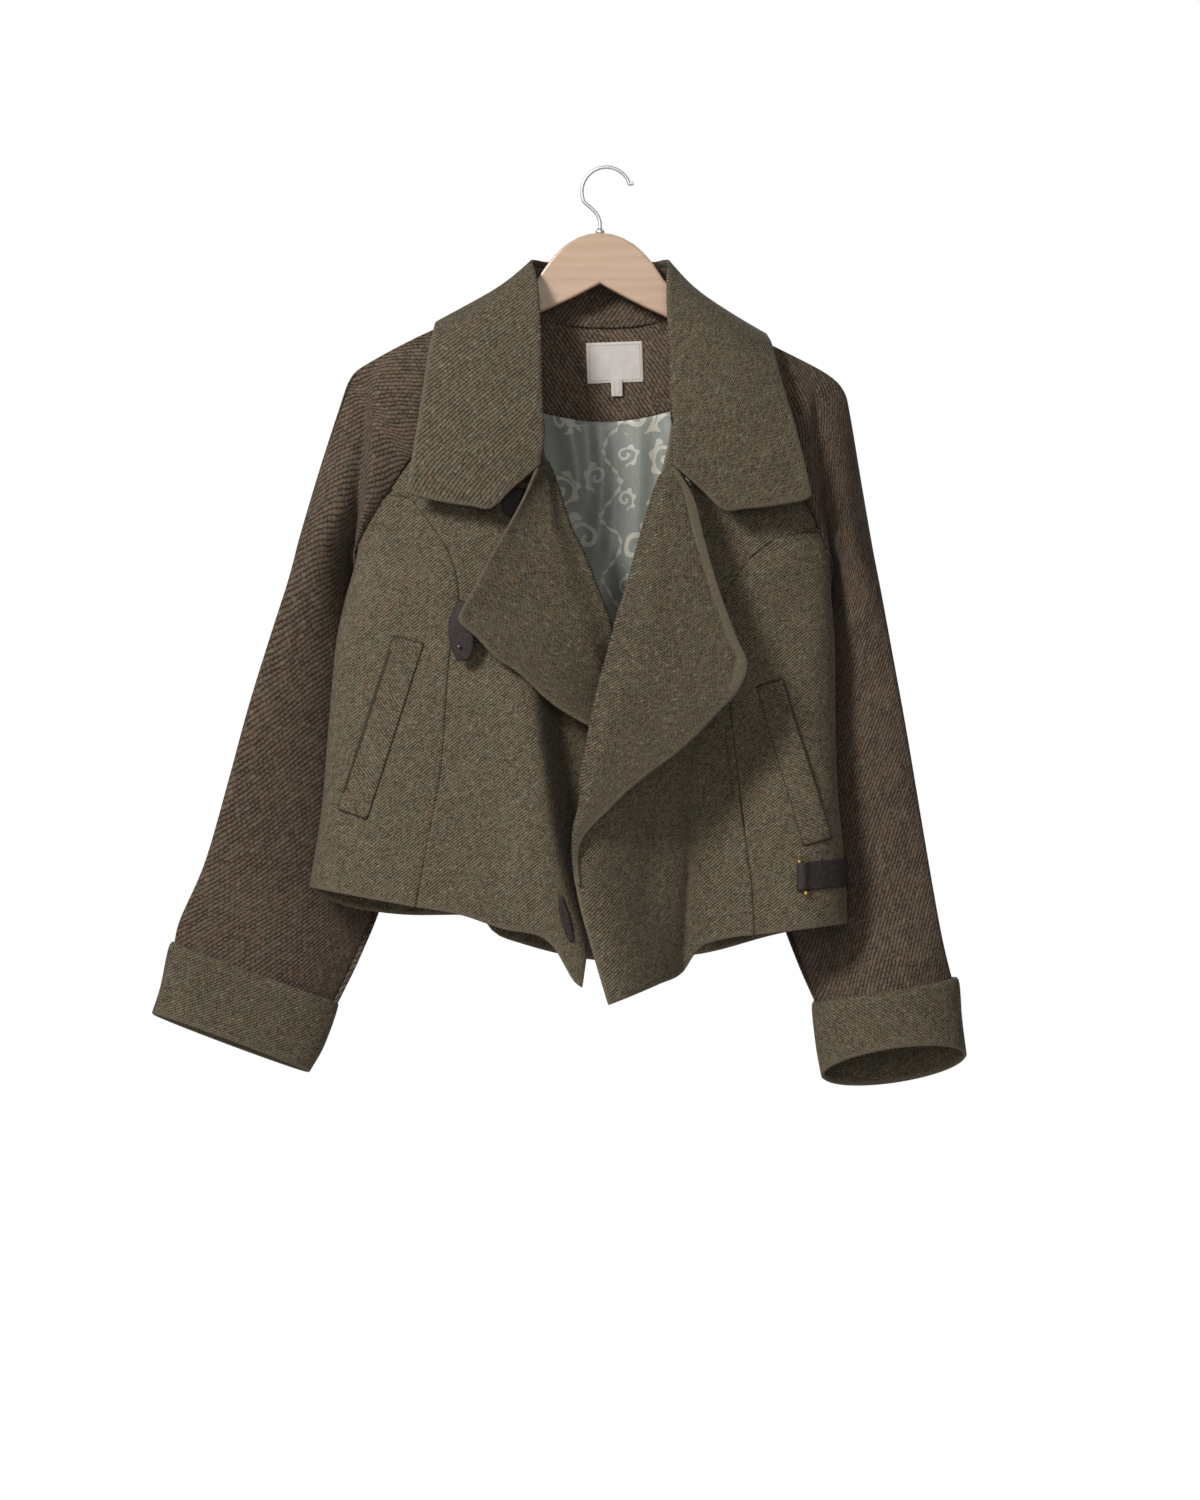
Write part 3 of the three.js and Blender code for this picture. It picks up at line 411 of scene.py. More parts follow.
def stations(table):
    """Each column as a smooth function of the row number, scaled to run from 0 to 1."""
    found = columns(table)
    steps = np.linspace(0, 1, len(next(iter(found.values()))))
    read = {name: curve(steps, values) for name, values in found.items()}
    return lambda share: {name: column(share) for name, column in read.items()}


# The body's own shape, from the CAD part
WALL, FACED, SATIN_WALL, HIDE_WALL = 1.8, 3.0, 1.0, 2.0
SEAM = 0.5
ROUNDING = 3
HEM_FROM, HEM_REACH = -450, 250
UNDERARM_LEFT, UNDERARM_RIGHT = -356, -370

sides = curves("z", """
z left right
-120 -150 142
-170 -206 186
-214 -222 200
-264 -226 206
-315 -229 211
-367 -233 214
-409 -244 216
-446 -252 219
-531 -260 220
-594 -265 222
-634 -270 226
-683 -278 230
-720 -279 231
""")
depths = curves("z", """
z front back
-120 20 20
-200 27 26
-300 38 34
-450 50 40
-600 57 44
-790 60 46
""")
seams_left = curve([-150, -180, -215, -250, -294, -331, -356], [-88, -110, -135, -161, -193, -218, -231])
seams_right = curve([-150, -180, -215, -250, -290, -335, -370], [84, 103, 126, 150, 176, 200, 214])
princess_left = curve(
    [-306, -314, -332, -369, -410, -467, -574, -644, -697],
    [-203, -185, -168, -144, -136, -145, -153, -166, -176],
)
princess_right = curve(
    [-340, -346, -355, -389, -419, -516, -594, -674, -726],
    [204, 187, 159, 124, 112, 120, 129, 139, 142],
)
edge_left = curve(
    [-150, -190, -250, -299, -367, -432, -500, -560, -620, -680, -730, -774],
    [-74, -69, -62, -46, -20, 7, 12, 8, 0, -8, -14, -20],
)
edge_right = curve(
    [-150, -190, -250, -296, -362, -436, -515, -574, -641, -684, -731, -789],
    [71, 68, 64, 54, 34, 12, -9, -18, -27, -24, -12, 5],
)
turn_left = curve([-460, -560, -652, -744], [-76, -60, -46, -19])


def creased(x, z, table):
    """Soft ridges, and troughs where height is below 0, along lines from a to b that fade at both ends."""
    total = 0
    found = columns(table)
    named = [found[n] for n in ("ax", "az", "bx", "bz", "width", "height")]
    for ax, az, bx, bz, width, height in zip(*named):
        long = math.hypot(bx - ax, bz - az)
        ux, uz = (bx - ax) / long, (bz - az) / long
        along = (x - ax) * ux + (z - az) * uz
        aside = (z - az) * ux - (x - ax) * uz
        bowed = aside - 0.04 * long * np.sin(np.pi * np.clip(along / long, 0, 1))
        fade = ease(along / (0.3 * long)) * ease((long - along) / (0.3 * long))
        total = total + height * fade * np.exp(-((bowed / width) ** 2))
    return total


FRONT_LEFT_CREASES = """
ax az bx bz width height
-196 -322 -120 -392 13 1.6
-176 -300 -96 -336 15 2.0
-205 -360 -150 -400 10 -1.4
-238 -400 -186 -470 11 1.5
-246 -470 -214 -560 10 -1.2
-150 -430 -128 -560 17 1.6
-108 -470 -98 -700 14 -1.8
-128 -560 -120 -735 12 1.5
-262 -600 -228 -690 11 1.6
-200 -630 -196 -690 9 -1.1
-92 -260 -74 -330 12 -1.2
"""
FRONT_RIGHT_CREASES = """
ax az bx bz width height
190 -352 128 -410 13 1.6
160 -300 96 -330 15 1.6
206 -392 158 -436 10 -1.4
214 -430 170 -500 11 1.3
218 -560 200 -660 11 1.3
150 -640 156 -715 9 -1.2
20 -480 6 -640 14 1.6
40 -560 34 -740 12 -1.8
126 -560 122 -690 11 1.2
88 -250 76 -300 11 -1.1
"""


def closing(x, z):
    middle = (sides["left"](z) + sides["right"](z)) / 2
    half = (sides["right"](z) - sides["left"](z)) / 2
    share = np.clip(np.abs(x - middle) / half, 0, 1)
    return (1 - share**ROUNDING) ** (1 / ROUNDING)


def front_y(x, z):
    return -depths["front"](z) * closing(x, z)


def back_y(x, z):
    return depths["back"](z) * closing(x, z)


TURN_BACK, TURN_WIDTH, TURN_RIDGE = 36, 28, 13
ROLL_FORWARD, VALLEY_BACK, NECK_FORWARD = 36, 30, 30


def front_left_y(x, z):
    """The left front turns sharply back towards its edge, below the lapel."""
    low = ease((-z - 430) / 110)
    turn = turn_left(z)
    back = ease((x - turn) / TURN_WIDTH)
    fold = low * (TURN_RIDGE * bell(x, turn - 12, 38) - TURN_BACK * back)
    return front_y(x, z) - fold - creased(x, z, FRONT_LEFT_CREASES)


def front_right_y(x, z):
    """The right front's leading part stands forward in a roll that ends in a valley."""
    low = ease((-z - 440) / 110)
    edge = edge_right(z)
    valley = 86 + (z + 546) * 0.06
    across = np.clip((x - edge) / (valley - edge), 0, 1)
    roll = ROLL_FORWARD * (1 - across**1.8) ** 0.7
    plane = VALLEY_BACK * ease((x - edge - 6) / 80) * ease((205 - x) / 110)
    neck = NECK_FORWARD * ease((-z - 200) / 110) * (1 - ease((x - edge) / 70))
    return front_y(x, z) - mix(neck, roll - plane, low) - creased(x, z, FRONT_RIGHT_CREASES)


# Cloth made from a grid of points
CELL = 4.0


def grid(across, down):
    return np.linspace(0, 1, across + 1)[None, :], np.linspace(0, 1, down + 1)[:, None]


def points_of(x, y, z):
    return np.stack(np.broadcast_arrays(x, y, z), -1).astype(float)


def unit(vectors):
    return vectors / np.maximum(np.linalg.norm(vectors, axis=-1, keepdims=True), 1e-9)


def directions(points, ring=False):
    """Along the rows, down the columns, and square to both."""
    if ring:
        open_ring = np.concatenate([points[:, -2:-1], points, points[:, 1:2]], 1)
        along = open_ring[:, 2:] - open_ring[:, :-2]
    else:
        along = np.gradient(points, axis=1)
    down = np.gradient(points, axis=0)
    return unit(along), unit(down), unit(np.cross(along, down))


def spun(points, side):
    """The grid turned so that the named side is its first column; the same call undoes it."""
    if side in "tb":
        points = points.transpose(1, 0, 2)
    return points[:, ::-1] if side in "rb" else points


def unspun(points, side):
    points = points[:, ::-1] if side in "rb" else points
    return points.transpose(1, 0, 2) if side in "tb" else points


def sewn(points, dipped, tucked, centre, drop=2.3, reach=6.0, dip=1.0):
    """The grid with its dipped sides pressed in along their seams, and an allowance beyond the tucked ones.

    The allowance goes under the next piece. centre is the x and y of a place inside the garment."""
    carried = np.concatenate([points, np.broadcast_to(centre, (*points.shape[:2], 2))], -1)
    for side in dipped + tucked:
        turned = spun(carried, side)
        edge, inner = turned[:, 0, :3], turned[:, 1, :3]
        gap = np.maximum(np.linalg.norm(inner - edge, axis=-1, keepdims=True), 1e-3)
        out = (edge - inner) / gap
        square = unit(np.cross(out, np.gradient(edge, axis=0)))
        toward = turned[:, 0, 3:] - edge[:, :2]
        inward = square * np.sign((square[:, :2] * toward).sum(-1, keepdims=True))
        near = [
            edge + inward * dip,
            edge - out * np.minimum(1.0, gap * 0.25) + inward * dip * 0.5,
            edge - out * np.minimum(2.6, gap * 0.6) + inward * dip * 0.1,
        ]
        if side in tucked:
            under = [(reach, drop), (reach * 0.45, drop), (0.9, (drop + dip) * 0.6)]
            near = [edge + out * a + inward * b for a, b in under] + near
        near = np.stack(near, 1)
        near = np.concatenate([near, np.repeat(turned[:, :1, 3:], near.shape[1], 1)], -1)
        carried = unspun(np.concatenate([near, turned[:, 1:]], 1), side)
    return carried[..., :3]


BODY_MIDDLE = (-20.0, 0.0)
TUCK_COLUMNS = 3


def softened(points, times):
    for _ in range(times):
        inner = (points[:-2] + points[2:]) / 2
        points[1:-1] = mix(points[1:-1], inner, 0.5)
    return points


def lengths(points, axis):
    steps = np.linalg.norm(np.diff(points, axis=axis), axis=-1)
    start = np.zeros_like(np.take(steps, [0], axis))
    return np.concatenate([start, np.cumsum(steps, axis)], axis)


def flat_place(points, anchor, across0=0.0, down0=0.0):
    """Where each point lies on the cut cloth: lengths along the rows from the anchor column."""
    along = lengths(points, 1)
    column = int(round(anchor * (points.shape[1] - 1)))
    place = along - along[:, column : column + 1] + across0
    down = lengths(points, 0)
    return np.stack([place, down + down0], -1)


def upright_place(points, anchor):
    """As flat_place, for an upright grain: the anchor column keeps its own x, and rows their z."""
    place = flat_place(points, anchor)
    column = int(round(anchor * (points.shape[1] - 1)))
    place[..., 0] += points[:, column : column + 1, 0]
    place[..., 1] = points[..., 2]
    return place


def cloth(
    name, node, finish, points, wall, place,
    free="", ring=False, tucked="", light=None, seams="", painted_shadow=None,
):
    """A closed wall of cloth round the points, its rims rounded, in place of a CAD node.

    free names the sides that are open edges, lightened at the rim (wear and painted highlight), seams those
    with a painted seam shadow, and tucked those with an allowance beyond their seam, where the same painted
    seam shadow runs.
    The points in light are lightened as an open edge is (painted highlight and wear), those in the last mask
    painted as dark as a seam's shadow."""
    rows, cols = points.shape[:2]
    normal = directions(points, ring)[2]
    steps_across, steps_down = lengths(points, 1), lengths(points, 0)
    from_side = {
        "l": steps_across,
        "r": steps_across[:, -1:] - steps_across,
        "t": steps_down,
        "b": steps_down[-1:] - steps_down,
    }
    far = np.full((rows, cols), 99.0)
    rim = np.stack([far, far], -1)
    for side, distance in from_side.items():
        if side not in free + seams + tucked:
            continue
        which = 0 if side in free else 1
        if side in tucked:
            at_seam = spun(distance[..., None], side)[:, TUCK_COLUMNS, 0]
            distance = np.abs(distance - (at_seam[:, None] if side in "lr" else at_seam[None, :]))
        if not (ring and side in "lr"):
            rim[..., which] = np.minimum(rim[..., which], distance)
    # Painted highlight on the points in light, and painted seam shadow on the points in the last mask.
    if light is not None:
        rim[..., 0] = np.where(light, np.minimum(rim[..., 0], 0.2), rim[..., 0])
    if painted_shadow is not None:
        rim[..., 1] = np.where(painted_shadow, 0.3, rim[..., 1])
    kept = cols - 1 if ring else cols
    front = (points + normal * wall / 2)[:, :kept].reshape(-1, 3)
    rear = (points - normal * wall / 2)[:, :kept].reshape(-1, 3)
    r, c = np.indices((rows, cols))
    vertex = r * kept + c % kept
    uv = r * cols + c
    half = rows * kept

    def quads(index):
        return np.stack([index[:-1, :-1], index[:-1, 1:], index[1:, 1:], index[1:, :-1]], -1).reshape(-1, 4)

    faces = [quads(vertex), quads(vertex)[:, ::-1] + half]
    corners = [quads(uv), quads(uv)[:, ::-1]]
    top = [(0, i) for i in range(cols)]
    bottom = [(rows - 1, i) for i in range(cols - 1, -1, -1)]
    if ring:
        loops = [top, bottom]
    else:
        right = [(i, cols - 1) for i in range(1, rows - 1)]
        left = [(i, 0) for i in range(rows - 2, 0, -1)]
        loops = [top + right + bottom + left + top[:1]]
    rim_points, count = [], 2 * half
    for loop in loops:
        loop = np.array(loop)
        inner = np.stack([np.clip(loop[:, 0], 1, rows - 2), np.clip(loop[:, 1], 1, cols - 2)], 1)
        if ring:
            inner[:, 1] = loop[:, 1]
        edge = points[loop[:, 0], loop[:, 1]]
        rim_points.append((edge + unit(edge - points[inner[:, 0], inner[:, 1]]) * wall * 0.42)[:-1])
        number = count + np.arange(len(loop)) % (len(loop) - 1)
        a, b = vertex[loop[:-1, 0], loop[:-1, 1]], vertex[loop[1:, 0], loop[1:, 1]]
        ua, ub = uv[loop[:-1, 0], loop[:-1, 1]], uv[loop[1:, 0], loop[1:, 1]]
        faces += [
            np.stack([b, a, number[:-1], number[1:]], -1),
            np.stack([number[1:], number[:-1], a + half, b + half], -1),
        ]
        corners += [np.stack([ub, ua, ua, ub], -1), np.stack([ub, ua, ua, ub], -1)]
        count += len(loop) - 1
    faces, corners = np.concatenate(faces), np.concatenate(corners).reshape(-1)
    vertices = np.concatenate([front, rear, *rim_points]) * MM
    mesh = bpy.data.meshes.new(name)
    mesh.from_pydata(vertices.tolist(), [], faces.tolist())
    mesh.uv_layers.new(name="cloth").data.foreach_set("uv", (place.reshape(-1, 2)[corners] * MM).ravel())
    mesh.uv_layers.new(name="rim").data.foreach_set("uv", (rim.reshape(-1, 2)[corners] * MM).ravel())
    return stand(name, mesh, node, finish)


def stand(name, mesh, node, finish):
    mesh.polygons.foreach_set("use_smooth", [True] * len(mesh.polygons))
    mesh.update()
    piece = bpy.data.objects.new(name, mesh)
    bpy.context.scene.collection.objects.link(piece)
    mesh.materials.append(FINISHES[finish])
    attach(piece, "root")
    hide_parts(node)
    return piece


def panel(start, end, levels, depth, across, hem=None, spread=None):
    tall = np.abs(np.diff([(a + b) / 2 for a, b in levels]))
    knots = np.concatenate([[0], np.cumsum(tall)])
    down = int(knots[-1] / CELL)
    share, at = grid(across, down)
    if spread:
        share = spread(share)
    low = np.interp(at * knots[-1], knots, [a for a, _ in levels])
    high = np.interp(at * knots[-1], knots, [b for _, b in levels])
    x, z = mix(start(low), end(high), share), mix(low, high, share)
    if hem:
        z = z + hem(x) * ease((HEM_FROM - z) / HEM_REACH)
    return points_of(x, depth(x, z), z)


def joined(upper, lower, z0, shift):
    return lambda z: np.where(z > z0, upper(z), lower(z)) + shift


def stopped(depth):
    return lambda x, z: np.minimum(-SEAM, depth(x, z))


def dense_edge(u):
    return u**1.7


outside_left = joined(lambda z: seams_left(z) + SEAM, sides["left"], UNDERARM_LEFT, 0)
outside_right = joined(lambda z: seams_right(z) - SEAM, sides["right"], UNDERARM_RIGHT, 0)

side_left = panel(
    outside_left, lambda z: princess_left(z) - SEAM, [(-311, -314), (-681, -699)],
    stopped(front_left_y), 34, spread=dense_edge,
)
side_left = sewn(side_left, "", "rtl", BODY_MIDDLE)
place = upright_place(side_left, 1)
cloth("side_panel_left", "front_side_left", "olive", side_left, WALL, place, "b", tucked="rtl")

side_right = panel(
    lambda z: princess_right(z) + SEAM, outside_right, [(-349, -346), (-726, -715)],
    stopped(front_right_y), 32, spread=lambda u: 1 - dense_edge(1 - u),
)
side_right = sewn(side_right, "", "ltr", BODY_MIDDLE)
place = upright_place(side_right, 0)
cloth("side_panel_right", "front_side_right", "olive", side_right, WALL, place, "b", tucked="ltr")

hem_left = curve([-176, -133, -94, -60, -46, -36, -28, -20], [0, 13, 19, 29, 25, 13, 3, 0])
hem_right = curve([5, 53, 74, 86, 96, 124, 142], [0, -4, -5, 7, 12, 6, 0])
centre_left = panel(
    joined(seams_left, princess_left, -306, SEAM), edge_left, [(-152, -152), (-314, -314), (-699, -774)],
    front_left_y, 44, hem_left,
)
centre_left = sewn(centre_left, "l", "", BODY_MIDDLE)
place = upright_place(centre_left, 0.5)
cloth(
    "centre_panel_left", "front_centre_left", "olive", centre_left, WALL, place, "rb", seams="l"
)
centre_right = panel(
    edge_right, joined(seams_right, princess_right, -340, -SEAM), [(-152, -152), (-349, -349), (-789, -726)],
    front_right_y, 64, hem_right,
)
centre_right = sewn(centre_right, "r", "", BODY_MIDDLE)
place = upright_place(centre_right, 0.6)
cloth(
    "centre_panel_right", "front_centre_right", "olive", centre_right, WALL, place, "lb", seams="r"
)

# Lapels, each row from the roll line to the free edge
LAPEL_LEFT = """
rx rz ex ez ey
-53 -281 -62 -288 -66
-46 -299 -77 -321 -68
-33 -340 -103 -367 -70
-20 -367 -116 -392 -72
-9 -395 -129 -416 -74
-1 -416 -134 -431 -74
5 -432 -118 -446 -74
8 -447 -99 -466 -73
10 -462 -77 -481 -72
11 -480 -46 -509 -70
12 -500 -8 -532 -68
"""
LAPEL_RIGHT = """
rx rz ex ez ey
65 -287 71 -292 -74
54 -298 85 -318 -78
44 -327 94 -355 -84
34 -362 109 -406 -90
24 -399 124 -447 -96
15 -428 134 -472 -98
8 -455 124 -498 -98
1 -480 107 -516 -98
-5 -504 87 -537 -97
-10 -528 66 -556 -96
-15 -556 44 -572 -96
-19 -578 22 -590 -96
-20 -602 2 -610 -96
-25.5 -624 -14 -626 -97
-27 -640 -22.5 -641 -97
-26.5 -658 -24 -658 -97
-23.5 -678 -22 -678 -97
"""
LAPEL_LIFT, LAPEL_CLEAR, ROLL_SHARE = 3.0, 8, 0.22


def lapel(table, depth, across, down, taper):
    share, at = grid(across, down)
    r = stations(table)(at)
    x, z = mix(r["rx"], r["ex"], share), mix(r["rz"], r["ez"], share)
    roll = depth(r["rx"], r["rz"]) - LAPEL_LIFT * (1 - 1.7 * taper * ease((at - 0.86) / 0.14))
    turned = ease(share / ROLL_SHARE)
    clear = LAPEL_CLEAR * (1 - taper * at**5)
    full = np.minimum(roll - clear * turned, mix(roll - clear, r["ey"], share))
    points = points_of(x, mix(roll, full, turned), z)
    # The roll goes round the front's edge.
    out = unit(points[:, :1] - points[:, 1:2]) * (1, 0, 1)
    round_edge = [points[:, :1] + out * 0.6 + (0, 2.9, 0), points[:, :1] + out * 1.5 + (0, 1.2, 0)]
    return np.concatenate([*round_edge, points], 1)


points = lapel(LAPEL_LEFT, front_left_y, 30, 60, 0)
cloth("turned_lapel_left", "lapel_left", "lapel_olive_painted_shade", points, FACED, flat_place(points, 0), "r")
points = lapel(LAPEL_RIGHT, front_right_y, 44, 96, 1)
# The free edge is turned over once more from the notch to the lapel's point.
TURNING = 11.0
from_edge = lengths(points, 1)[:, -1:] - lengths(points, 1)
turning = ease((0.42 - np.linspace(0, 1, points.shape[0])[:, None]) / 0.08)
points[..., 1] -= turning * (1.1 * (from_edge < TURNING) - 0.9 * bell(from_edge, TURNING + 1, 1.6))
# Along that turned-over strip the colour is lightened as at an open edge: a painted highlight on the turned
# edge, with wear.
cloth(
    "turned_lapel_right", "lapel_right", "lapel_olive_painted_shade", points, FACED, flat_place(points, 0), "r",
    light=(turning > 0.5) & (from_edge < TURNING),
)

# Back
BACK_TOP = """
lx lz rx rz sag
-78 -128 75 -130 -23
-92 -141 89 -143 -14
-121 -170 117 -173 -6
-151 -210 145 -213 0
-179 -255 171 -258 0
-205 -300 193 -306 0
-229 -350 212 -362 0
"""
back_hem = curve(
    [-278, -270, -256, -239, -191, -128, -116, -109, -100, -80, -43, -3, 91, 167, 231],
    [5, -3, -9, -14, -18, -15, -17, -26, -33, -39, -47, -51, -40, -16, 0],
)
BACK_SHARE = 0.4
BACK_CREASES = """
ax az bx bz width height
-196 -300 -120 -392 15 2.2
188 -306 120 -380 14 2.0
-60 -190 -110 -260 16 -1.6
52 -196 98 -270 14 -1.4
-150 -420 -120 -600 20 2.6
-40 -450 -58 -690 22 -2.4
70 -430 60 -660 19 2.2
160 -520 148 -700 16 -2.0
-220 -520 -206 -680 14 1.8
-10 -300 -4 -420 18 1.4
"""


def back_surface(x, z):
    return back_y(x, z) + creased(x, z, BACK_CREASES)


share, at = grid(104, 140)
fan = 0.5 - 0.5 * np.cos(np.pi * share)
r = stations(BACK_TOP)(np.minimum(at / BACK_SHARE, 1))
low = np.clip((at - BACK_SHARE) / (1 - BACK_SHARE), 0, 1)
left_z, right_z = mix(-350, -686, low), mix(-362, -715, low)
x = np.where(
    at < BACK_SHARE,
    mix(r["lx"] + SEAM, r["rx"] - SEAM, fan),
    mix(sides["left"](left_z), sides["right"](right_z), fan),
)
z = np.where(
    at < BACK_SHARE,
    mix(r["lz"], r["rz"], fan) + r["sag"] * np.sin(np.pi * fan),
    mix(left_z, right_z, fan) + back_hem(x) * ease((low - 0.2) / 0.8),
)
back = sewn(points_of(x, np.maximum(SEAM, back_surface(x, z)), z), "lr", "", BODY_MIDDLE)
cloth("back_panel", "back", "olive", back, WALL, upright_place(back, 0.5), "b", seams="lr")

# Inside the back
FACING_IN, LINING_IN = 3.2, 3.4
FACING = """
lx lz rx rz sag
-76 -137 73 -139 -9
-88 -160 86 -162 -14
-112 -196 110 -198 -22
-122 -206 120 -208 -31
"""
share, at = grid(60, 20)
r = stations(FACING)(at)
x, z = mix(r["lx"], r["rx"], share), mix(r["lz"], r["rz"], share) + r["sag"] * np.sin(np.pi * share)
points = points_of(x, back_y(x, z) - FACING_IN, z)
place = upright_place(points, 0.5)
cloth("neck_facing_inside", "neck_facing", "facing_brown_painted_light", points, WALL, place)

LINING_CREASES = """
ax az bx bz width height
-44 -205 -22 -330 10 -5.0
-6 -215 -12 -400 9 -4.0
30 -205 12 -470 13 -7.0
66 -215 50 -360 10 -6.0
-96 -270 -112 -500 11 -2.2
-10 -460 12 -660 10 -2.0
60 -500 44 -700 9 -1.8
-60 -520 -74 -690 9 1.8
-200 -500 -214 -680 9 -1.6
176 -520 180 -700 9 1.8
"""
share, at = grid(96, 116)
last = {name: float(values) for name, values in stations(FACING)(1.0).items()}
top = mix(last["lz"], last["rz"], share) + last["sag"] * np.sin(np.pi * share) - 1
wide = ease(at / 0.35)
z = mix(top, -668 + 0.8 * back_hem(mix(-260, 214, share)), at)
x = mix(mix(last["lx"], sides["left"](z) + 16, wide), mix(last["rx"], sides["right"](z) - 16, wide), share)
points = points_of(x, back_y(x, z) - LINING_IN + np.minimum(0, creased(x, z, LINING_CREASES)), z)
place = upright_place(points, 0.5)
place[..., 0] -= 8
cloth("back_lining", "lining_back", "satin", points, SATIN_WALL, place, "b")


def laid(x, z, depth, lift):
    """Points on a surface, lifted off it square to it."""
    tilt = points_of(depth(x - 1, z) - depth(x + 1, z), 2.0, depth(x, z - 1) - depth(x, z + 1))
    return points_of(x, depth(x, z), z) - unit(tilt) * lift


def patch(left, right, top, bottom, depth, lift, across, down, tilt=0.0):
    share, at = grid(across, down)
    x, z = mix(left, right, share), mix(top, bottom, at)
    return laid(x - tilt * (z - top), z + tilt * (x - left), depth, lift)


LABEL_LIFT = 1.7
points = patch(-16, 37, -164, -202, back_y, FACING_IN + LABEL_LIFT, 28, 20, 0.035)
cloth("neck_label", "label", "ribbon", points, SATIN_WALL, flat_place(points, 0), "lrtb")
points = patch(8, 18, -199, -214, back_y, FACING_IN + LABEL_LIFT + 1.5, 8, 12, 0.02)
cloth("blank_size_tab", "size_tab", "ribbon", points, SATIN_WALL, flat_place(points, 0), "lrb")

# Collar
STAND = """
nx nz ny rx rz ry
-64 -246 -46 -60 -240 -54
-69 -190 -38 -62 -184 -44
-76 -137 -20 -66 -122 -26
-82 -112 0 -70 -97 -3
-66 -138 15.6 -57 -94 16
-36 -146.5 15.6 -32 -94 26
-2 -149 16.2 -3 -94 30
32 -147.5 15.8 27 -94 26
62 -139 15.6 51 -94 16
79 -114 0 64 -98 -3
74 -139 -20 63 -124 -26
68 -190 -38 63 -184 -44
66 -246 -46 64 -240 -54
"""
share, at = grid(130, 16)
r = stations(STAND)(share)
points = points_of(mix(r["rx"], r["nx"], at), mix(r["ry"], r["ny"], at), mix(r["rz"], r["nz"], at))
cloth("inside_stand", "collar_stand", "brown", points, WALL, flat_place(points, 0.5))

FALL = """
rx rz ry ex ez ey puff drop
-60 -284 -66 -184 -306 -60 3 1
-56 -256 -66 -177 -266 -58 4 0.3
-58 -222 -62 -170 -222 -52 5 0
-59 -174 -52 -164 -178 -42 6 0
-61 -132 -38 -160 -157 -26 6 0
-64 -104 -22 -158 -147 -6 2 0
-68 -88 0 -152 -146 20 -4 0
-55 -87 24 -126 -162 42 1 0
-32 -87 33 -72 -186 52 6 0
-3 -87 37 -2 -196 56 6 0
27 -87 33 68 -188 52 6 0
49 -87 24 122 -166 42 0 0
62 -88 0 150 -156 20 -7 0
61 -106 -22 156 -161 -6 1 0
61 -134 -38 161 -176 -26 6 0
63 -174 -52 168 -206 -44 6 0
65 -222 -62 178 -241 -54 5 0
67 -256 -66 187 -276 -60 4 0.3
66 -284 -68 195 -311 -62 3 1
"""
end_drop = curve([0, 0.2, 0.36, 0.5, 0.7, 0.95, 1], [0, -18, -33, -28, -20, -7, -2])
share, at = grid(200, 30)
r = stations(FALL)(share)
x = mix(r["rx"], r["ex"], at)
y = mix(r["ry"], r["ey"], at)
z = mix(r["rz"], r["ez"], at) + r["drop"] * end_drop(at)
facing = unit(points_of(x * 0.3, y * 2, 18.0))
points = points_of(x, y, z) + facing * (r["puff"] * np.sin(np.pi * at))[..., None]
place = flat_place(points, 0.5)
cloth("collar_turned_fall", "collar_fall", "olive_back", points, FACED, place, "lrb")

# Raglan sleeves: sections from the overarm line to the front seam and the back seam
SLEEVES = {
    "left": (50, """
ox oz oy fx fz gx gz front back step at
-88 -122 0 -89 -150 -93 -141 2 2 0 0.1
-126 -139 0 -111 -181 -122 -170 4 4 0 0.1
-172 -158 0 -136 -216 -152 -210 5 5 0 0.1
-222 -184 0 -162 -251 -180 -255 8 6 4 0.14
-239.5 -198 1 -178 -273 -193 -278 12 12 14 0.3
-250 -226 2 -194 -295 -206 -300 16 18 27 0.5
-270 -288 3 -219 -332 -222 -332 24 30 42 0.8
-289 -352 4 -235 -362 -235 -362 26 40 50 0.96
""", """
ox oz oy ix iz iy front back
-289 -352 4 -235 -362 3 24 40
-299 -390 5 -232 -398 28 22 40
-317 -445 6 -218 -455 60 22 30
-338 -512 7 -208 -530 74 22 24
-358 -585 9 -203 -610 78 22 20
-380 -660 13 -215 -690 72 22 18
-404 -714 17 -236 -748 56 22 19
-410 -740 20 -259 -797 42 21 20
"""),
    "right": (30, """
ox oz oy fx fz gx gz front back step at
84 -128 0 85 -150 90 -143 2 2 0 0.1
122 -150 0 104 -181 118 -173 4 4 0 0.1
166 -171 0 127 -216 146 -213 5 5 0 0.1
211 -194 0 151 -251 172 -258 8 6 4 0.3
228 -210 1 164 -271 183 -282 12 12 10 0.46
234 -232 2 177 -291 194 -306 16 18 16 0.64
245 -298 3 201 -336 206 -340 24 30 26 0.86
256 -362 4 216 -374 216 -374 26 40 30 0.97
""", """
ox oz oy ix iz iy front back
256 -362 4 216 -374 3 24 40
264 -402 5 212 -414 25 22 40
274 -455 6 198 -470 56 23 32
288 -530 7 178 -544 68 26 28
301 -606 8 166 -620 74 25 25
314 -682 9 172 -698 72 24 22
324 -736 10 188 -752 52 30 25
333 -773 10 205 -796 30 34 34
"""),
}
SLEEVE_CREASES = {
    "left": """
ax az bx bz width height
-300 -372 -256 -430 9 2.2
-318 -430 -262 -470 10 -2.0
-334 -500 -270 -520 12 2.2
-350 -560 -290 -600 11 -2.0
-372 -640 -300 -690 12 2.0
-392 -700 -330 -752 9 -1.6
-160 -178 -150 -232 9 1.2
""",
    "right": """
ax az bx bz width height
268 -390 232 -440 9 1.8
284 -470 236 -500 10 -2.0
300 -560 232 -600 12 2.2
316 -650 250 -690 11 -2.0
330 -730 280 -768 9 1.5
150 -186 142 -236 9 1.2
""",
}
SLEEVE_END, SLEEVE_PART, UPPER = 0.99, 0.95, 0.42


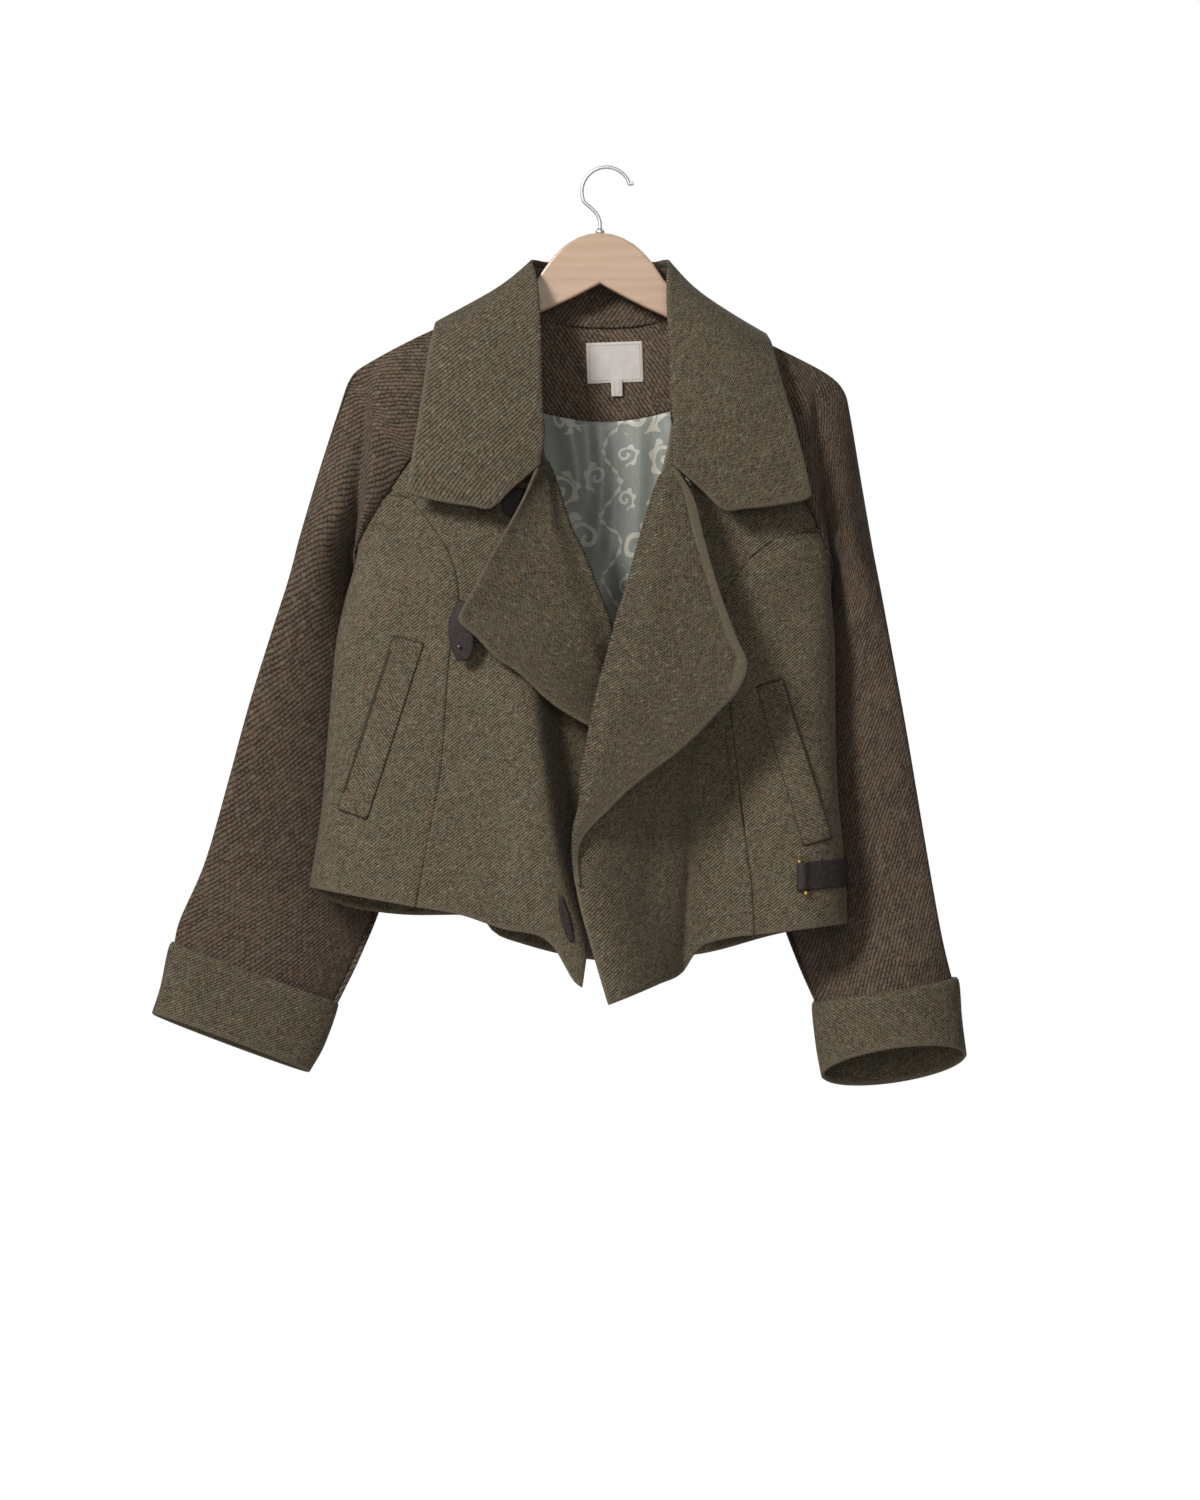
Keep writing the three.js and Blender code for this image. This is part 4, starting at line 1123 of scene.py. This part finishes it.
def sleeve(step, above, below, way, across, down):
    share, at = grid(across, down)
    swell = np.sin(np.pi * share * SLEEVE_END) ** 0.75
    share = mix(0.006, 1, share * SLEEVE_END)
    at = at * 0.997
    r = stations(above)(np.minimum(at / UPPER, 1))
    ex, ez = (r["fx"], r["fz"]) if way < 0 else (r["gx"], r["gz"])
    seam_y = front_y(ex, ez) if way < 0 else back_y(ex, ez)
    if way < 0:
        behind = r["at"] - share
        dropped = ease(behind / 0.09 + 0.5) * np.exp(-np.maximum(behind, 0) / 0.33)
        puff = r["front"] * swell - r["step"] * dropped
    else:
        puff = r["back"] * swell
    lift = 7 * np.sin(np.pi * share) * (1 - ease((at / UPPER - 0.4) / 0.5))
    x, y, z = mix(r["ox"], ex, share), mix(r["oy"], seam_y, share), mix(r["oz"], ez, share)
    upper = points_of(x, y + way * puff, z + lift)
    r = stations(below)(np.clip((at - UPPER) / (1 - UPPER), 0, 1))
    puff = (r["front"] if way < 0 else r["back"]) * swell
    if way < 0:
        puff = puff - mix(step, 0, ease((at - UPPER) / 0.24)) * np.exp((share - 1) / 0.33)
    x, y, z = mix(r["ox"], r["ix"], share), mix(r["oy"], r["iy"], share), mix(r["oz"], r["iz"], share)
    lower = points_of(x, y + way * puff, z)
    points = np.where((at < UPPER)[..., None], upper, lower)
    points[..., 1] += way * mix(SLEEVE_PART, 0.3, share)
    return points


for side, (step, above, below) in SLEEVES.items():
    for face, way in (("front", -1), ("back", 1)):
        points = softened(sleeve(step, above, below, way, 44, 176), 6)
        creases = creased(points[..., 0], points[..., 2], SLEEVE_CREASES[side])
        fade = ease(grid(44, 176)[0] / 0.12) * ease((1 - grid(44, 176)[0]) / 0.12)
        points[..., 1] += way * creases * fade
        axis = mix(points[:, :1, :2], points[:, -1:, :2], 0.5)
        tucked = "r"
        points = sewn(points, "", tucked, axis, drop=2.6, reach=6.0, dip=0.6)
        cloth(
            f"raglan_{face}_{side}", f"sleeve_{face}_{side}",
            "brown" if side == "left" else "brown_turned",
            points, WALL, flat_place(points, 0.3), "", tucked=tucked,
        )

# Cuffs
CUFFS = {
    "left": """
ox oz oy ix iz iy front back tip
-403 -742 20 -264 -799 41 15 15 0
-412 -738 20 -255 -796 41 25.2 25.2 0
-421 -778 20 -268 -834 38 22 22 2
-429 -803 20 -282 -859 36 22 22 4
""",
    "right": """
ox oz oy ix iz iy front back tip
328 -776 10 210 -800 30 26 26 0
337 -771 10 201 -795 30 38 38.6 0
340 -808 6 204 -832 20 38 38 12
344 -842 2 209 -861 14 40 42 19
""",
}
for side, table in CUFFS.items():
    share, at = grid(110, 18)
    r = stations(table)(at)
    turn = 2 * np.pi * share
    way = (1 - np.cos(turn)) / 2
    depth = np.sin(turn)
    points = points_of(
        mix(r["ox"], r["ix"], way),
        mix(r["oy"], r["iy"], way) - depth * np.where(depth > 0, r["front"], r["back"]),
        mix(r["oz"], r["iz"], way) + depth * r["tip"],
    )
    place = flat_place(points, 0)
    cloth(
        f"turned_cuff_{side}", f"cuff_{side}", "olive_back", points, FACED, place, "tb", ring=True
    )

# Welt pockets: sewn down along the inner side and both ends, and standing off along the opening
def welt(corners, depth, opening_first, across, down):
    share, at = grid(across, down)
    (ax, az), (bx, bz), (cx, cz), (dx, dz) = corners
    from_opening = share if opening_first else 1 - share
    lift = 1.9 + 1.7 * (1 - ease(from_opening / 0.7)) * np.sin(np.pi * np.clip(at, 0.03, 0.97)) ** 0.5
    x, z = mix(mix(ax, bx, share), mix(dx, cx, share), at), mix(mix(az, bz, share), mix(dz, cz, share), at)
    return laid(x, z, depth, lift[..., None])


points = welt([(-197, -445), (-169, -452), (-222, -617), (-249, -608)], front_left_y, True, 12, 44)
points = sewn(points, "r", "", BODY_MIDDLE, dip=0.7)
rows, cols = np.indices(points.shape[:2])
# Painted shadow: a dark line about two columns wide along the lifted opening side of the left welt.
opening_shadow = (cols < 2) & (rows > 3) & (rows < 40)
place = flat_place(points, 0)
cloth("pocket_welt_left", "welt_left", "olive", points, WALL, place, seams="lrtb", painted_shadow=opening_shadow)
points = welt([(145, -492), (169, -485), (214, -635), (189, -642)], front_right_y, False, 12, 44)
points = sewn(points, "l", "", BODY_MIDDLE, dip=0.7)
place = flat_place(points, 0)
cloth("pocket_welt_right", "welt_right", "olive", points, WALL, place, seams="lrtb")


# Leather
def strap(table, across, down):
    share, at = grid(across, down)
    r = stations(table)(at)
    return points_of(mix(r["ax"], r["bx"], share), mix(r["ay"], r["by"], share), mix(r["az"], r["bz"], share))


def leather(name, node, points):
    cloth(name, node, "hide", points, HIDE_WALL, flat_place(points, 0), "lrtb")


points = strap("""
ax ay az bx by bz
-136 -66 -412 -126 -67 -414
-143 -66 -428 -125 -70.6 -428
-144 -66 -445 -122 -69 -445
-140 -66 -461 -123 -67 -461
-136 -66 -468 -128 -66 -467
""", 10, 28)
leather("leather_loop_left", "strap_loop_left", points)
points = strap("""
ax ay az bx by bz
-94 -40.6 -306 -74 -40.8 -306
-96 -42 -320 -80 -42.4 -324
-92 -43 -330 -84 -43.4 -332
""", 10, 14)
leather("leather_notch_tab", "notch_tab_left", points)
share, at = grid(8, 24)
r = stations("""
ax bx az bz
-41 -39 -690 -689
-41 -35 -702 -700
-38 -31.5 -714 -711
-34.5 -29.5 -724 -721
-31 -28.5 -731 -730
""")(at)
x, z = mix(r["ax"], r["bx"], share), mix(r["az"], r["bz"], share)
points = laid(x, z, front_left_y, HIDE_WALL + 0.5)
leather("leather_edge_tab", "edge_tab_left", points)
share, at = grid(40, 14)
x = mix(183, 231.5, share)
z = mix(-659, -684, at) + 4 * share
lift = 2.6 + 3.4 * bell(x, 188, 4.5)
points = laid(x, z, stopped(front_right_y), lift[..., None] + 0 * z[..., None])
leather("leather_side_tab", "side_tab_right", points)


def turned_piece(name, node, finish, profile, axis_from, axis_to, around=24):
    """A piece turned on a lathe: radii at shares of the way between two points."""
    a, b = np.array(axis_from, float), np.array(axis_to, float)
    line = unit(b - a)
    side = unit(np.cross(line, (0.3, 1.0, 0.2)))
    other = np.cross(line, side)
    turn = np.linspace(0, 2 * np.pi, around, endpoint=False)
    rings = [
        a + (b - a) * t + radius * (np.cos(turn)[:, None] * side + np.sin(turn)[:, None] * other)
        for t, radius in profile
    ]
    return ringed(name, node, finish, rings)


def ringed(name, node, finish, rings):
    """A closed solid through rings of points, capped at both ends."""
    rings = [rings[0].mean(0, keepdims=True).repeat(len(rings[0]), 0) * 0.98 + rings[0] * 0.02, *rings]
    rings.append(rings[-1].mean(0, keepdims=True).repeat(len(rings[-1]), 0) * 0.98 + rings[-1] * 0.02)
    around = len(rings[0])
    faces = []
    for i in range(len(rings) - 1):
        for j in range(around):
            k = (j + 1) % around
            faces.append((i * around + j, i * around + k, (i + 1) * around + k, (i + 1) * around + j))
    faces += [tuple(range(around))[::-1], tuple(range((len(rings) - 1) * around, len(rings) * around))]
    mesh = bpy.data.meshes.new(name)
    mesh.from_pydata((np.concatenate(rings) * MM).tolist(), [], faces)
    build = bmesh.new()
    build.from_mesh(mesh)
    bmesh.ops.recalc_face_normals(build, faces=build.faces)
    build.to_mesh(mesh)
    build.free()
    mesh.uv_layers.new(name="cloth")
    return stand(name, mesh, node, finish)


KNOBBED = [
    (0, 0.9), (0.012, 1.9), (0.035, 2.7), (0.065, 2.9), (0.095, 2.5), (0.12, 1.7), (0.14, 1.5),
    (0.86, 1.5), (0.88, 1.7), (0.905, 2.5), (0.935, 2.9), (0.965, 2.7), (0.988, 1.9), (1, 0.9),
]
bar_y = float(front_right_y(np.array(188.0), np.array(-672.0))) - 3.2
bar_top, bar_foot = (184.5, bar_y, -655), (191.5, bar_y, -689)
turned_piece("brass_side_bar", "side_bar_right", "brass", KNOBBED, bar_top, bar_foot)
STUD = [(0, 1.5), (0.3, 1.5), (0.55, 1.9), (0.8, 1.6), (1, 0.6)]
turned_piece("loop_stud", "stud_left", "dull_metal", STUD, (-135, -68.6, -455), (-135, -71, -455))
SNAP = [(0, 4.6), (0.4, 4.8), (0.6, 4.4), (0.7, 2.6), (1, 2.2)]
turned_piece("snap_half", "snap_right", "dull_metal", SNAP, (80, -60.4, -300), (80, -62.6, -300))

# Hook: an open circle of wire on a stem, and the ferrule at its foot
HOOK_WIRE, HOOK_RADIUS = 3.4, 21.5
HOOK_MIDDLE = (3.0, -HOOK_RADIUS)
wire_radius = HOOK_RADIUS + HOOK_WIRE / 2
route = [(-3, -57.5), (-3.2, -50), (-6, -43), (-12, -36.5)]
for turn in np.radians(np.arange(205, 17, -8.5)):
    route.append((HOOK_MIDDLE[0] + wire_radius * np.cos(turn), HOOK_MIDDLE[1] + wire_radius * np.sin(turn)))
route.append((28.6, -13.4))
route = np.array(route)
along = np.concatenate([[0], np.cumsum(np.linalg.norm(np.diff(route, axis=0), axis=1))])
fine = np.linspace(0, along[-1], 150)
path = np.stack([curve(along, route[:, 0])(fine), curve(along, route[:, 1])(fine)], 1)
way = unit(np.gradient(path, axis=0))
turn = np.linspace(0, 2 * np.pi, 20, endpoint=False)
rings = []
for (px, pz), (dx, dz) in zip(path, way):
    ring = np.stack([-dz * np.cos(turn), np.sin(turn), dx * np.cos(turn)], 1) * HOOK_WIRE / 2
    rings.append(ring + (px, 0, pz))
ringed("hook_of_wire", "hook", "wire", rings)
FERRULE = [(0, 4.0), (0.1, 4.3), (0.45, 4.3), (0.55, 3.9), (0.7, 3.0), (1, 2.7)]
turned_piece("hook_ferrule", "ferrule", "wire", FERRULE, (-3, 0, -60.9), (-3, 0, -56.6), 32)

bpy.data.objects["hanger_wood"].material_slots[0].material = FINISHES["beech"]

# Studio
world = bpy.data.worlds.new("studio")
bpy.context.scene.world = world
world.use_nodes = True
links, nodes = world.node_tree.links, world.node_tree.nodes
background = nodes["Background"]
seen = nodes.new("ShaderNodeLightPath")
strength = nodes.new("ShaderNodeMapRange")
strength.inputs["To Min"].default_value = 0.2
strength.inputs["To Max"].default_value = 1.0
links.new(seen.outputs["Is Camera Ray"], strength.inputs["Value"])
links.new(strength.outputs["Result"], background.inputs["Strength"])
background.inputs["Color"].default_value = (1, 1, 1, 1)


def lamp(name, size, power, where, at):
    data = bpy.data.lights.new(name, "AREA")
    data.shape, data.size, data.energy = "DISK", size, power
    light = bpy.data.objects.new(name, data)
    light.location = where
    light.rotation_euler = (Vector(at) - Vector(where)).to_track_quat("-Z", "Y").to_euler()
    bpy.context.scene.collection.objects.link(light)


lamp("key", 0.9, 104, (-1.95, -2.45, 1.35), (0, 0, -0.45))
lamp("fill", 1.4, 15, (0.3, -3.5, 0.2), (0, 0, -0.45))
lamp("rear", 2.0, 20, (1.0, 2.8, 1.2), (0, 0, -0.45))

floor_mesh = bpy.data.meshes.new("floor")
floor_corners = [(x * 1.2, y * 1.2, -1.5) for x, y in ((-1, -1), (1, -1), (1, 1), (-1, 1))]
floor_mesh.from_pydata(floor_corners, [], [(0, 1, 2, 3)])
floor = bpy.data.objects.new("floor", floor_mesh)
floor_mesh.materials.append(Finish("pale_floor", Base_Color=(0.8, 0.8, 0.8, 1), Roughness=0.8).material)
bpy.context.scene.collection.objects.link(floor)

scene = bpy.context.scene
scene.view_settings.view_transform = "Standard"
